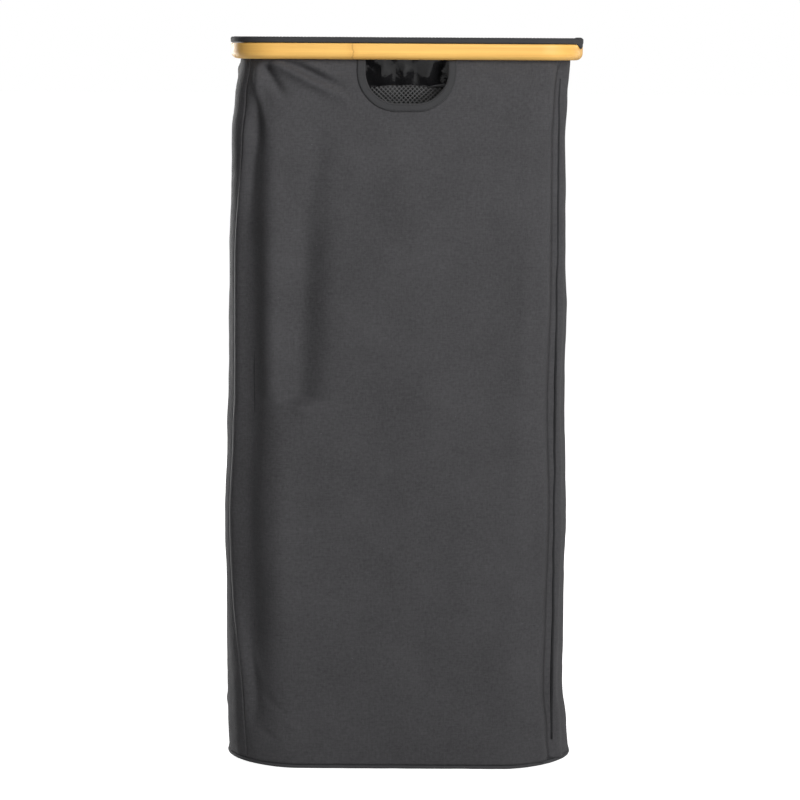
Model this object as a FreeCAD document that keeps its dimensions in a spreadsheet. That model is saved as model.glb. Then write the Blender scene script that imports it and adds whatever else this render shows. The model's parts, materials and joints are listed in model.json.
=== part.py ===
import FreeCAD, Part
import math
import os
import Sketcher

# Square laundry hamper: a soft cloth box hung in a bent bamboo rim, with a flat
# hinged lid, corner rods, a stiff base board and a net bag inside.
# Millimetres, +Z up, the front faces -Y, origin in the middle of the underside.

os.makedirs("parts", exist_ok=True)
doc = FreeCAD.newDocument("laundry_hamper")
sheet = doc.addObject("Spreadsheet::Sheet", "Sizes")

# Every ring in the hamper is a square with the same four corner centres, and its
# size is given by the radius of its corners alone. The base has rounder corners,
# so its own corner centres lie further in.
SIZES = (
    ("core", 121, "corner centre, from the middle"),
    ("base_core", 98.5, "corner centre of the base, from the middle"),
    ("rim_low", 672, "underside of the bamboo rim"),
    ("rim_high", 15, "height of the bamboo rim"),
    ("rim_round", 44, "outer corner radius of the rim"),
    ("rim_bore", 35.3, "inner corner radius of the rim"),
    ("rim_belly", 6.5, "rounding of the lower outer edge"),
    ("rim_brow", 2.4, "rounding of the upper outer edge"),
    ("rim_ease", 1.1, "rounding of the inner edges"),
    ("hoop_round", 33.4, "outer corner radius of the inner hoop"),
    ("hoop_bore", 28.4, "inner corner radius of the inner hoop"),
    ("screw_reach", 70, "screw, sideways from the middle of a side"),
    ("shank_round", 1.5, "screw shank radius"),
    ("bore_round", 1.55, "screw hole radius"),
    ("shank_long", 11.5, "screw shank length"),
    ("head_round", 3, "screw head radius"),
    ("head_thick", 2, "screw head thickness"),
    ("cloth", 1.2, "thickness of the outer cloth"),
    ("wall_low", 3.6, "lower edge of the cloth walls"),
    ("wall_top", 686.5, "upper edge of the cloth walls"),
    ("low_round", 66, "corner radius of the walls at the base"),
    ("top_round", 34.9, "corner radius of the walls at the top"),
    ("grip_side", 9, "centre of the grip opening's lower bends"),
    ("grip_mid", 661, "height of those bends' centre"),
    ("grip_round", 30, "radius of those bends"),
    ("band_wide", 7, "width of the binding round the opening"),
    ("band_lip", 0.8, "binding folded over the cut edge"),
    ("band_in", 154, "inner face of the binding"),
    ("band_slot_in", 154.7, "inner face of the cloth it holds"),
    ("band_slot_out", 156.9, "outer face of the cloth it holds"),
    ("band_out", 157.8, "outer face of the binding"),
    ("base_round", 63.8, "corner radius of the bottom cloth"),
    ("base_thick", 1.6, "thickness of the bottom cloth"),
    ("piping_mid", 65.6, "corner radius of the piping's centre line"),
    ("piping_round", 1.6, "radius of the piping"),
    ("piping_lift", 1.8, "height of the piping's centre line"),
    ("board_low", 1.8, "underside of the base board"),
    ("board_thick", 4, "thickness of the base board"),
    ("board_round", 61, "corner radius of the base board"),
    ("cover_round", 62.2, "corner radius of the board's cover"),
    ("cover_skin", 0.9, "thickness of the board's cover"),
    ("rod_round", 3, "radius of a corner rod"),
    ("sleeve_bore", 3.3, "inner radius of a rod sleeve"),
    ("sleeve_round", 4.4, "outer radius of a rod sleeve"),
    ("flange_wide", 8, "seam flange between a wall's corner and its sleeve"),
    ("flange_half", 0.6, "half the thickness of that flange"),
    ("sleeve_low", 24, "lower end of a rod sleeve"),
    ("sleeve_top", 655, "upper end of a rod sleeve"),
    ("rod_low", 9, "lower end of a corner rod"),
    ("rod_top", 669.5, "upper end of a corner rod"),
    ("cap_round", 4.2, "radius of a rod cap"),
    ("cap_bore", 3.15, "radius of a rod cap's socket"),
    ("cap_deep", 6, "depth of a rod cap's socket"),
    ("cap_floor", 2, "closed end of a rod cap"),
    ("liner_round", 14, "corner radius of the net bag"),
    ("liner_skin", 0.8, "thickness of the net"),
    ("liner_low", 8.4, "underside of the net bag"),
    ("liner_floor", 1, "thickness of the net bag's bottom"),
    ("hem_low", 642, "lower edge of the net bag's hem"),
    ("hem_high", 8, "height of the hem"),
    ("hem_round", 15.2, "outer corner radius of the hem"),
    ("hem_bore", 12.6, "inner corner radius of the hem"),
    ("band_bend", 673, "height where the bag's band meets the hoop"),
    ("band_edge", 685, "upper edge of the bag's band"),
    ("band_round", 27.9, "outer corner radius of the band on the hoop"),
    ("band_skin", 0.8, "thickness of the band"),
    ("eyelet_gap", 0.6, "clearance round a rod cap in the band's eyelets"),
    ("stud_reach", 100, "stud, sideways from the middle of a side"),
    ("stud_round", 4, "radius of a stud's cap"),
    ("stud_thick", 1.4, "thickness of a stud's cap"),
    ("post_round", 1.2, "radius of a stud's post"),
    ("post_long", 3, "length of a stud's post"),
    ("lid_low", 687.4, "underside of the lid"),
    ("lid_skin", 0.9, "thickness of each lid cloth"),
    ("lid_core", 3, "thickness of the lid's board"),
    ("lid_round", 44, "outer corner radius of the lid"),
    ("lid_edge", 1.4, "thickness of the lid's edge binding"),
    ("tape_half", 105, "half the length of the hinge tape"),
    ("tape_side", 165.2, "inner face of the hinge tape"),
    ("tape_thick", 1, "thickness of the hinge tape"),
)


class Size:
    """A number together with the rule that finds it in the sheet."""

    def __init__(self, number, rule):
        self.number = number
        self.rule = rule

    def joined(self, other, sign, number):
        rule = other.rule if isinstance(other, Size) else str(other)
        return Size(number, f"({self.rule} {sign} {rule})")

    def __add__(self, other):
        return self.joined(other, "+", self.number + plain(other))

    def __sub__(self, other):
        return self.joined(other, "-", self.number - plain(other))

    def __mul__(self, other):
        return self.joined(other, "*", self.number * plain(other))

    def __truediv__(self, other):
        return self.joined(other, "/", self.number / plain(other))

    def __neg__(self):
        return Size(-self.number, f"(-1 * {self.rule})")


def plain(amount):
    return amount.number if isinstance(amount, Size) else amount


def sized(amount):
    return amount if isinstance(amount, Size) else Size(amount, str(amount))


S = {}
for row, (alias, number, note) in enumerate(SIZES, 1):
    sheet.set(f"A{row}", note)
    sheet.set(f"B{row}", str(number))
    sheet.setAlias(f"B{row}", alias)
    S[alias] = Size(number, f"Sizes.{alias}")
doc.recompute()

SIDES = (
    ("front", (0, -1), (1, 0)),
    ("right", (1, 0), (0, 1)),
    ("back", (0, 1), (-1, 0)),
    ("left", (-1, 0), (0, -1)),
)
CORNERS = (
    ("front_left", -1, -1),
    ("front_right", 1, -1),
    ("back_left", -1, 1),
    ("back_right", 1, 1),
)
nodes = {}


def keep(thing, label):
    thing.Label = label
    nodes[label] = thing
    return thing


def bind(thing, prop, amount):
    thing.setExpression(prop, sized(amount).rule)


# ---- sketches -------------------------------------------------------------

def new_sketch(body, role, lift=0):
    """A sketch on one of the body's own planes, moved along its normal."""
    plane = next(one for one in body.Origin.OriginFeatures if one.Role == role)
    sketch = body.newObject("Sketcher::SketchObject", body.Name + "_lines")
    sketch.AttachmentSupport = [(plane, "")]
    sketch.MapMode = "FlatFace"
    bind(sketch, "AttachmentOffset.Base.z", lift)
    return sketch


def ruled(sketch, kind, *places, amount):
    """Add one measured constraint and tie it to the sheet."""
    number = sketch.addConstraint(Sketcher.Constraint(kind, *places, abs(plain(amount))))
    name = f"{kind}_{number}"
    sketch.renameConstraint(number, name)
    positive = amount if plain(amount) >= 0 else -sized(amount)
    bind(sketch, f"Constraints.{name}", positive)


def place_point(sketch, curve, end, across, up):
    """Fix a point of a curve at a measured distance from the sketch's origin."""
    for kind, amount in (("DistanceX", across), ("DistanceY", up)):
        if abs(plain(amount)) < 1e-9:
            axis = -2 if kind == "DistanceX" else -1
            sketch.addConstraint(Sketcher.Constraint("PointOnObject", curve, end, axis))
        elif plain(amount) > 0:
            ruled(sketch, kind, -1, 1, curve, end, amount=amount)
        else:
            ruled(sketch, kind, curve, end, -1, 1, amount=amount)


def draw_ring(sketch, radius, core=S["core"]):
    """A square with round corners, drawn round its corner centres."""
    c = core.number
    r = plain(radius)
    first = len(sketch.Geometry)
    turns = ((1, -1, -0.5), (1, 1, 0.0), (-1, 1, 0.5), (-1, -1, 1.0))
    for number, (sx, sy, turn) in enumerate(turns):
        quarter = turn * math.pi
        out = FreeCAD.Vector(math.cos(quarter), math.sin(quarter), 0)
        before = FreeCAD.Vector(*((-sx * c, sy * c), (sx * c, -sy * c))[number % 2], 0)
        centre = FreeCAD.Vector(sx * c, sy * c, 0)
        sketch.addGeometry(Part.LineSegment(before + out * r, centre + out * r), False)
        circle = Part.Circle(centre, FreeCAD.Vector(0, 0, 1), r)
        sketch.addGeometry(Part.ArcOfCircle(circle, quarter, quarter + math.pi / 2), False)
    for number in range(8):
        following = first + (number + 1) % 8
        sketch.addConstraint(Sketcher.Constraint("Tangent", first + number, 2, following, 1))
    for number in (0, 4):
        sketch.addConstraint(Sketcher.Constraint("Horizontal", first + number))
        sketch.addConstraint(Sketcher.Constraint("Vertical", first + number + 2))
    for number in (3, 5, 7):
        sketch.addConstraint(Sketcher.Constraint("Equal", first + 1, first + number))
    ruled(sketch, "Radius", first + 1, amount=radius)
    place_point(sketch, first + 3, 3, core, core)
    place_point(sketch, first + 7, 3, -core, -core)


def draw_outline(sketch, points):
    """A closed outline of straight lines, every corner placed from the sheet."""
    spots = [FreeCAD.Vector(plain(x), plain(y), 0) for x, y in points]
    first = len(sketch.Geometry)
    count = len(points)
    for number, spot in enumerate(spots):
        sketch.addGeometry(Part.LineSegment(spot, spots[(number + 1) % count]), False)
    for number, (across, up) in enumerate(points):
        following = first + (number + 1) % count
        sketch.addConstraint(Sketcher.Constraint("Coincident", first + number, 2, following, 1))
        place_point(sketch, first + number, 1, across, up)


def draw_circle(sketch, across, up, radius):
    spot = FreeCAD.Vector(plain(across), plain(up), 0)
    circle = Part.Circle(spot, FreeCAD.Vector(0, 0, 1), plain(radius))
    number = sketch.addGeometry(circle, False)
    ruled(sketch, "Radius", number, amount=radius)
    place_point(sketch, number, 3, across, up)


def draw_grip(sketch, grow, top):
    """The deep D of the grip opening, made larger or smaller all round."""
    radius = S["grip_round"] + grow
    r = radius.number
    side = S["grip_side"].number
    mid = S["grip_mid"].number
    high = plain(top)
    up = FreeCAD.Vector(0, 0, 1)
    left = FreeCAD.Vector(-side, mid, 0)
    right = FreeCAD.Vector(side, mid, 0)

    def spot(x, y):
        return FreeCAD.Vector(x, y, 0)

    sketch.addGeometry(Part.LineSegment(spot(-side - r, high), spot(-side - r, mid)), False)
    sketch.addGeometry(Part.ArcOfCircle(Part.Circle(left, up, r), math.pi, 1.5 * math.pi), False)
    sketch.addGeometry(Part.LineSegment(spot(-side, mid - r), spot(side, mid - r)), False)
    sketch.addGeometry(Part.ArcOfCircle(Part.Circle(right, up, r), -math.pi / 2, 0), False)
    sketch.addGeometry(Part.LineSegment(spot(side + r, mid), spot(side + r, high)), False)
    sketch.addGeometry(Part.LineSegment(spot(side + r, high), spot(-side - r, high)), False)
    joins = ((0, 2, 1, 1), (1, 2, 2, 1), (2, 2, 3, 1), (3, 2, 4, 1))
    for join in joins:
        sketch.addConstraint(Sketcher.Constraint("Tangent", *join))
    sketch.addConstraint(Sketcher.Constraint("Coincident", 4, 2, 5, 1))
    sketch.addConstraint(Sketcher.Constraint("Coincident", 5, 2, 0, 1))
    sketch.addConstraint(Sketcher.Constraint("Vertical", 0))
    sketch.addConstraint(Sketcher.Constraint("Horizontal", 5))
    ruled(sketch, "Radius", 1, amount=radius)
    ruled(sketch, "Radius", 3, amount=radius)
    place_point(sketch, 1, 3, -S["grip_side"], S["grip_mid"])
    place_point(sketch, 3, 3, S["grip_side"], S["grip_mid"])
    ruled(sketch, "DistanceY", -1, 1, 5, 1, amount=top)


# ---- solids ---------------------------------------------------------------

def new_body(name):
    return doc.addObject("PartDesign::Body", name)


def finish(body, feature):
    body.Tip = feature
    return body


def pad(body, sketch, length):
    feature = body.newObject("PartDesign::Pad", body.Name + "_pad")
    feature.Profile = sketch
    bind(feature, "Length", length)
    return finish(body, feature)


def ring(name, low, high, outer, inner=None, core=S["core"]):
    """A flat ring, or a plate when there is no inner radius."""
    body = new_body(name)
    sketch = new_sketch(body, "XY_Plane", low)
    draw_ring(sketch, outer, core)
    if inner is not None:
        draw_ring(sketch, inner, core)
    return pad(body, sketch, high)


def round_edges(body, places, radius, rule_height):
    """Round the ring edges found at given heights and corner radii."""
    doc.recompute()
    before = body.Tip
    found = []
    for number, edge in enumerate(before.Shape.Edges, 1):
        middle = edge.valueAt((edge.FirstParameter + edge.LastParameter) / 2)
        ends = [vertex.Point.z for vertex in edge.Vertexes]
        across = max(abs(middle.x) - S["core"].number, 0)
        deep = max(abs(middle.y) - S["core"].number, 0)
        size = math.hypot(across, deep)
        level = all(abs(height - rule_height) < 1e-3 for height in ends)
        if level and any(abs(size - place) < 1e-3 for place in places):
            found.append(f"Edge{number}")
    feature = body.newObject("PartDesign::Fillet", body.Name + "_round")
    feature.Base = (before, found)
    bind(feature, "Radius", radius)
    return finish(body, feature)


def profile_bar(name, points, start, length):
    """A bar along X with a straight-sided section drawn in Y and Z."""
    body = new_body(name)
    sketch = new_sketch(body, "YZ_Plane", start)
    draw_outline(sketch, points)
    return pad(body, sketch, length)


def grip_block(name, grow, top, near, far):
    """A block shaped like the grip opening, standing in the front wall."""
    body = new_body(name)
    sketch = new_sketch(body, "XZ_Plane", near)
    draw_grip(sketch, grow, top)
    return pad(body, sketch, far - near)


def loft(body, low, high):
    feature = body.newObject("PartDesign::AdditiveLoft", body.Name + "_loft")
    feature.Profile = low
    feature.Sections = [high]
    feature.Ruled = True
    return finish(body, feature)


def cylinder(name, radius, height, spot, facing=(0, 0, 1)):
    made = doc.addObject("Part::Cylinder", name)
    turn = FreeCAD.Rotation(FreeCAD.Vector(0, 0, 1), FreeCAD.Vector(*facing))
    made.Placement = FreeCAD.Placement(FreeCAD.Vector(0, 0, 0), turn)
    bind(made, "Radius", radius)
    bind(made, "Height", height)
    for axis, amount in zip("xyz", spot):
        bind(made, f"Placement.Base.{axis}", amount)
    return made


def fused(name, things):
    made = doc.addObject("Part::MultiFuse", name)
    made.Shapes = things
    return made


def cut(name, base, tool):
    made = doc.addObject("Part::Cut", name)
    made.Base = base
    made.Tool = tool
    return made


def common(name, base, tool):
    made = doc.addObject("Part::Common", name)
    made.Base = base
    made.Tool = tool
    return made


def mirrored(name, thing, normal):
    made = doc.addObject("Part::Mirroring", name)
    made.Source = thing
    made.Normal = FreeCAD.Vector(*normal)
    return made


# ---- screws that clamp the cloth between rim and hoop ---------------------

def side_bars(name, radius, start, length, reach, height):
    """Eight round bars pointing outwards, two on each side of the hamper."""
    bars = []
    for side, (dx, dy), (lx, ly) in SIDES:
        for number, way in enumerate((-1, 1)):
            x = start * dx + reach * (lx * way)
            y = start * dy + reach * (ly * way)
            label = f"{name}_{side}_{number}"
            bars.append(cylinder(label, radius, length, (x, y, height), (dx, dy, 0)))
    return bars


def screw_bars(name, radius, start, length):
    height = S["rim_low"] + S["rim_high"] / 2
    return side_bars(name, radius, start, length, S["screw_reach"], height)


hoop_face = S["core"] + S["hoop_bore"]
head_face = hoop_face - S["head_thick"]
shanks = screw_bars("shank", S["shank_round"], hoop_face, S["shank_long"])
heads = screw_bars("head", S["head_round"], head_face, S["head_thick"])
keep(fused("rim_screws", shanks + heads), "rim_screws")
bores = screw_bars("bore", S["bore_round"], hoop_face - 1, S["shank_long"] + 1.1)
screw_bores = fused("screw_bores", bores)
sinks = screw_bars("sink", S["head_round"] + 0.1, head_face - 1, S["head_thick"] + 1)
screw_sinks = fused("screw_sinks", sinks)

# ---- rim and hoop ---------------------------------------------------------

rim = ring("rim_blank", S["rim_low"], S["rim_high"], S["rim_round"], S["rim_bore"])
rim_foot = S["rim_low"].number
rim_crown = rim_foot + S["rim_high"].number
round_edges(rim, (S["rim_round"].number,), S["rim_belly"], rim_foot)
round_edges(rim, (S["rim_round"].number,), S["rim_brow"], rim_crown)
round_edges(rim, (S["rim_bore"].number,), S["rim_ease"], rim_foot)
keep(cut("bamboo_rim", rim, screw_bores), "bamboo_rim")

hoop = ring("hoop_blank", S["rim_low"], S["rim_high"] - 0.5, S["hoop_round"], S["hoop_bore"])
round_edges(hoop, (S["hoop_bore"].number,), S["rim_ease"], rim_foot)
keep(cut("inner_hoop", hoop, screw_bores), "inner_hoop")

# ---- outer cloth ----------------------------------------------------------

wall = new_body("wall_sock")
low_lines = new_sketch(wall, "XY_Plane", S["wall_low"])
draw_ring(low_lines, S["low_round"], S["base_core"])
draw_ring(low_lines, S["low_round"] - S["cloth"], S["base_core"])
top_lines = new_sketch(wall, "XY_Plane", S["wall_top"])
draw_ring(top_lines, S["top_round"])
draw_ring(top_lines, S["top_round"] - S["cloth"])
loft(wall, low_lines, top_lines)

rim_under = S["rim_low"]
grip_hole = grip_block("grip_hole", 0, rim_under, S["band_in"] - 4, S["band_out"] + 4)
grip_mouths = {
    "front": grip_hole,
    "back": mirrored("grip_hole_back", grip_hole, (0, 1, 0)),
}
reach_out = S["core"] * 2
for number, (side, (dx, dy), (lx, ly)) in enumerate(SIDES):
    quarter = new_body(f"{side}_quarter")
    lines = new_sketch(quarter, "XY_Plane")
    far_x = (reach_out * (dx + lx), reach_out * (dx - lx))
    far_y = (reach_out * (dy + ly), reach_out * (dy - ly))
    draw_outline(lines, ((0, 0), (far_x[0], far_y[0]), (far_x[1], far_y[1])))
    pad(quarter, lines, S["wall_top"] + 10)
    cloth = common(f"{side}_cloth", wall, quarter)
    mouth = grip_mouths.get(side)
    keep(cut(f"{side}_panel", cloth, mouth) if mouth else cloth, f"{side}_panel")

base_cloth = ring("base_panel", 0, S["base_thick"], S["base_round"], core=S["base_core"])
keep(base_cloth, "base_panel")

piping = new_body("base_piping")
path = new_sketch(piping, "XY_Plane", S["piping_lift"])
draw_ring(path, S["piping_mid"], S["base_core"])
cord_lines = new_sketch(piping, "XZ_Plane")
draw_circle(cord_lines, S["base_core"] + S["piping_mid"], S["piping_lift"], S["piping_round"])
cord = piping.newObject("PartDesign::AdditivePipe", "piping_run")
cord.Profile = cord_lines
cord.Spine = path
keep(finish(piping, cord), "base_piping")

# ---- binding folded over the edge of each grip opening --------------------

band_top = rim_under - 0.2
outer_block = grip_block("band_block", S["band_wide"], band_top, S["band_in"], S["band_out"])
slot_block = grip_block(
    "band_slot", S["band_wide"] + 1, rim_under, S["band_slot_in"], S["band_slot_out"])
slot_keep = grip_block("band_edge", 0, rim_under + 1, S["band_in"] - 1, S["band_out"] + 1)
hand_hole = grip_block(
    "band_mouth", -S["band_lip"], rim_under + 1, S["band_in"] - 1, S["band_out"] + 1)
slot = cut("band_groove", slot_block, slot_keep)
channel = cut("band_channel", outer_block, slot)
keep(cut("front_grip_binding", channel, hand_hole), "front_grip_binding")
keep(mirrored("back_grip_binding", nodes["front_grip_binding"], (0, 1, 0)), "back_grip_binding")

# ---- corner rods ----------------------------------------------------------

DIAGONAL = 0.70711


def corner_skin(height):
    """The walls' inner face on a corner's diagonal, sideways from the middle."""
    foot = S["base_core"] + (S["low_round"] - S["cloth"]) * DIAGONAL
    head = S["core"] + (S["top_round"] - S["cloth"]) * DIAGONAL
    lean = (head - foot) / (S["wall_top"] - S["wall_low"])
    return foot + lean * (height - S["wall_low"])


def corner_reach(height):
    """A sleeve's centre line, sideways from the middle."""
    return corner_skin(height) - (S["flange_wide"] + S["sleeve_round"]) * DIAGONAL


def corner_post(name, sx, sy, low, high, radii):
    """A leaning round bar or tube in one corner of the cloth."""
    body = new_body(name)
    sections = []
    for height in (low, high):
        lines = new_sketch(body, "XY_Plane", height)
        for radius in radii:
            draw_circle(lines, corner_reach(height) * sx, corner_reach(height) * sy, radius)
        sections.append(lines)
    return loft(body, *sections)


def corner_flange(name, sx, sy):
    """The doubled seam edge that joins a sleeve to the corner seam of the walls."""
    body = new_body(name)
    sections = []
    for height in (S["sleeve_low"], S["sleeve_top"]):
        inner = corner_reach(height) + (S["sleeve_round"] - 0.3) * DIAGONAL
        outer = corner_skin(height) - 0.15
        aside = S["flange_half"] * DIAGONAL
        corners = (
            (inner + aside, inner - aside),
            (outer + aside, outer - aside),
            (outer - aside, outer + aside),
            (inner - aside, inner + aside),
        )
        lines = new_sketch(body, "XY_Plane", height)
        draw_outline(lines, [(across * sx, deep * sy) for across, deep in corners])
        sections.append(lines)
    return loft(body, *sections)


cap_skins = []
cap_sockets = []
low_cap = S["rod_low"] - S["cap_floor"]
top_cap = S["rod_top"] - S["cap_deep"]
cap_high = S["cap_deep"] + S["cap_floor"]
for corner, sx, sy in CORNERS:
    sleeve_radii = (S["sleeve_round"], S["sleeve_bore"])
    tube = corner_post(
        f"{corner}_tube", sx, sy, S["sleeve_low"], S["sleeve_top"], sleeve_radii)
    flange = corner_flange(f"{corner}_flange", sx, sy)
    keep(fused(f"{corner}_sleeve", [tube, flange]), f"{corner}_sleeve")
    rod = corner_post(f"{corner}_rod", sx, sy, S["rod_low"], S["rod_top"], (S["rod_round"],))
    keep(rod, f"{corner}_rod")
    for end, cap_base, socket_base in (
            ("low", low_cap, S["rod_low"]), ("top", top_cap, top_cap)):
        reach = corner_reach(cap_base + cap_high / 2)
        name = f"{corner}_{end}"
        cap_skins.append(cylinder(
            f"cap_{name}", S["cap_round"], cap_high, (reach * sx, reach * sy, cap_base)))
        cap_sockets.append(cylinder(
            f"socket_{name}", S["cap_bore"], S["cap_deep"],
            (reach * sx, reach * sy, socket_base)))
caps = cut("rod_end_caps", fused("cap_blanks", cap_skins), fused("cap_holes", cap_sockets))
keep(caps, "rod_end_caps")

# ---- base board -----------------------------------------------------------

board = ring(
    "base_board", S["board_low"], S["board_thick"], S["board_round"], core=S["base_core"])
keep(board, "base_board")
cover_high = S["board_thick"] + S["cover_skin"]
cover_blank = ring(
    "cover_blank", S["board_low"], cover_high, S["cover_round"], core=S["base_core"])
cover_pocket = ring(
    "cover_pocket", S["board_low"] - 1, S["board_thick"] + 1.05, S["board_round"] + 0.1,
    core=S["base_core"])
keep(cut("base_board_cover", cover_blank, cover_pocket), "base_board_cover")

# ---- net bag --------------------------------------------------------------

net_low = S["liner_low"] + S["liner_floor"]
keep(ring("liner_base", S["liner_low"], S["liner_floor"], S["liner_round"]), "liner_base")
net = ring(
    "liner_mesh", net_low, S["hem_low"] - net_low, S["liner_round"],
    S["liner_round"] - S["liner_skin"])
keep(net, "liner_mesh")
hem = ring("liner_hem", S["hem_low"], S["hem_high"], S["hem_round"], S["hem_bore"])
keep(hem, "liner_hem")

# The bag's band widens from the hem to the hoop, lies flat on the hoop's inner
# face and is held there by press studs. The corner rods pass through its eyelets.
band = new_body("band_blank")
hem_top = S["hem_low"] + S["hem_high"]
sections = []
for height, radius in ((hem_top, S["hem_round"]), (S["band_bend"], S["band_round"])):
    lines = new_sketch(band, "XY_Plane", height)
    draw_ring(lines, radius)
    draw_ring(lines, radius - S["band_skin"])
    sections.append(lines)
loft(band, *sections)
top_ring = new_sketch(band, "XY_Plane", S["band_bend"])
draw_ring(top_ring, S["band_round"])
draw_ring(top_ring, S["band_round"] - S["band_skin"])
pad(band, top_ring, S["band_edge"] - S["band_bend"])
eyelet_reach = corner_reach(top_cap + cap_high / 2)
band_holes = [screw_sinks]
for corner, sx, sy in CORNERS:
    band_holes.append(cylinder(
        f"{corner}_eyelet", S["cap_round"] + S["eyelet_gap"], S["band_bend"] - hem_top,
        (eyelet_reach * sx, eyelet_reach * sy, hem_top)))
keep(cut("liner_band", band, fused("band_openings", band_holes)), "liner_band")

band_face = S["core"] + S["band_round"] - S["band_skin"]
stud_height = S["rim_low"] + S["rim_high"] / 2
stud_caps = side_bars(
    "cap", S["stud_round"], band_face - S["stud_thick"], S["stud_thick"],
    S["stud_reach"], stud_height)
stud_posts = side_bars(
    "post", S["post_round"], band_face, S["post_long"], S["stud_reach"], stud_height)
keep(fused("liner_studs", stud_caps + stud_posts), "liner_studs")

# ---- lid ------------------------------------------------------------------

lid_inner = S["lid_round"] - S["lid_edge"]
board_base = S["lid_low"] + S["lid_skin"]
cloth_base = board_base + S["lid_core"]
lid_high = S["lid_core"] + S["lid_skin"] * 2
keep(ring("lid_lining", S["lid_low"], S["lid_skin"], lid_inner), "lid_lining")
keep(ring("lid_board", board_base, S["lid_core"], lid_inner), "lid_board")
keep(ring("lid_top_cloth", cloth_base, S["lid_skin"], lid_inner), "lid_top_cloth")
keep(ring("lid_edge_binding", S["lid_low"], lid_high, S["lid_round"], lid_inner),
     "lid_edge_binding")

# Cloth tape that hinges the lid. It folds along a line 6.8 behind the rim's back
# face; one half is fixed to the rim and the other to the lid's back edge.
face = S["tape_side"]
tape = S["tape_thick"]
rim_tape_points = (
    (face, S["rim_low"] + 3),
    (face + tape, S["rim_low"] + 3),
    (face + tape, S["rim_low"] + 10.7),
    (face + 5.4, S["rim_low"] + 13.8),
    (face + 4.8, S["rim_low"] + 14.6),
    (face, S["rim_low"] + 11.3),
)
lid_tape_points = (
    (face, S["lid_low"] + 1),
    (face + 4.7, S["lid_low"] - 0.25),
    (face + 5, S["lid_low"] + 0.7),
    (face + tape, S["lid_low"] + 1.8),
    (face + tape, S["lid_low"] + 4.6),
    (face, S["lid_low"] + 4.6),
)
for name, points in (("rim_hinge_tape", rim_tape_points), ("lid_hinge_tape", lid_tape_points)):
    keep(profile_bar(name, points, -S["tape_half"], S["tape_half"] * 2), name)

# ---- check and write ------------------------------------------------------

doc.recompute()
for thing in doc.Objects:
    if "Invalid" in thing.State or "Error" in thing.State:
        raise RuntimeError(f"{thing.Name} did not build: {thing.State}")
for label, thing in nodes.items():
    shape = thing.Shape
    if shape.isNull() or not shape.isValid() or not shape.Solids:
        raise RuntimeError(f"{label} is not a sound solid")
for label, thing in nodes.items():
    thing.Shape.exportStep(f"parts/{label}.step")
    box = thing.Shape.BoundBox
    print(f"{label:22s} solids {len(thing.Shape.Solids)}  volume {thing.Shape.Volume:10.0f}"
          f"  x {box.XMin:7.1f} {box.XMax:6.1f}  y {box.YMin:7.1f} {box.YMax:6.1f}"
          f"  z {box.ZMin:6.1f} {box.ZMax:6.1f}")
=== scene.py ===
import json
import math
from functools import partial

import bmesh
import bpy
import numpy as np
from mathutils import Matrix, Vector, noise


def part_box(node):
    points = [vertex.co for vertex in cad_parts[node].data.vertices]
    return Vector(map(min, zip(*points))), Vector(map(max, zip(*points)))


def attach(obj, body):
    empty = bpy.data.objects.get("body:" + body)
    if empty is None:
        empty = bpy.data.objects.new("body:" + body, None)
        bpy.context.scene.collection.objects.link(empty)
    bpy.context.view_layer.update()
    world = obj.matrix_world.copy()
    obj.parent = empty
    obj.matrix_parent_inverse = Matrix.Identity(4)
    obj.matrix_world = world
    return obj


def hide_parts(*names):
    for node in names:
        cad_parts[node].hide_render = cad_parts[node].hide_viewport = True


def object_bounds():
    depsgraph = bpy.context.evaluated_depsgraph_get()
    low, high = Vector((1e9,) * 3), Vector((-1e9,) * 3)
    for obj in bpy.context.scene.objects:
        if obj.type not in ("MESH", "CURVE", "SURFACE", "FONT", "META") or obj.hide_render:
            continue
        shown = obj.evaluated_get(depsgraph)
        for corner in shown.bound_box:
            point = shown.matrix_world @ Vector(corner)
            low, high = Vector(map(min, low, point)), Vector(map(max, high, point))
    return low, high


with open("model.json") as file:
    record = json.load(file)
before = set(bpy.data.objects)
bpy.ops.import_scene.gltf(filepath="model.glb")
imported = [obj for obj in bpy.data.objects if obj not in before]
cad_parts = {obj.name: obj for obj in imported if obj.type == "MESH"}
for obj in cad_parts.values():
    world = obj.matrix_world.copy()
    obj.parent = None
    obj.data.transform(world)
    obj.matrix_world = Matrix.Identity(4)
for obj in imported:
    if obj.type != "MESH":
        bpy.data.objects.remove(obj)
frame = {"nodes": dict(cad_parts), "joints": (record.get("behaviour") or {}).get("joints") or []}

# Looks of a slim laundry hamper: a grey cloth box hung in a bamboo rim, with a
# cloth lid hinged at the back and a net bag inside. Metres, the front faces -Y.

# ---- sizes, all from the frame ---------------------------------------------

MM = 0.001
CAD_LOW, CAD_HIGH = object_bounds()
RIM_LOW, RIM_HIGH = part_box("bamboo_rim")
HOOP_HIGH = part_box("inner_hoop")[1]
WALL_LOW, WALL_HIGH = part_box("front_panel")
LID_LOW, LID_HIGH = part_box("lid_edge_binding")
HEM_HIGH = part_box("liner_hem")[1]
NET_LOW, NET_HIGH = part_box("liner_mesh")
BAND_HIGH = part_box("liner_band")[1]
GRIP_LOW, GRIP_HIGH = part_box("front_grip_binding")
HINGE = next(joint for joint in frame["joints"] if joint["name"] == "lid_hinge")
HINGE_Y, HINGE_Z = HINGE["pos_m"][1], HINGE["pos_m"][2]

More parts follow.
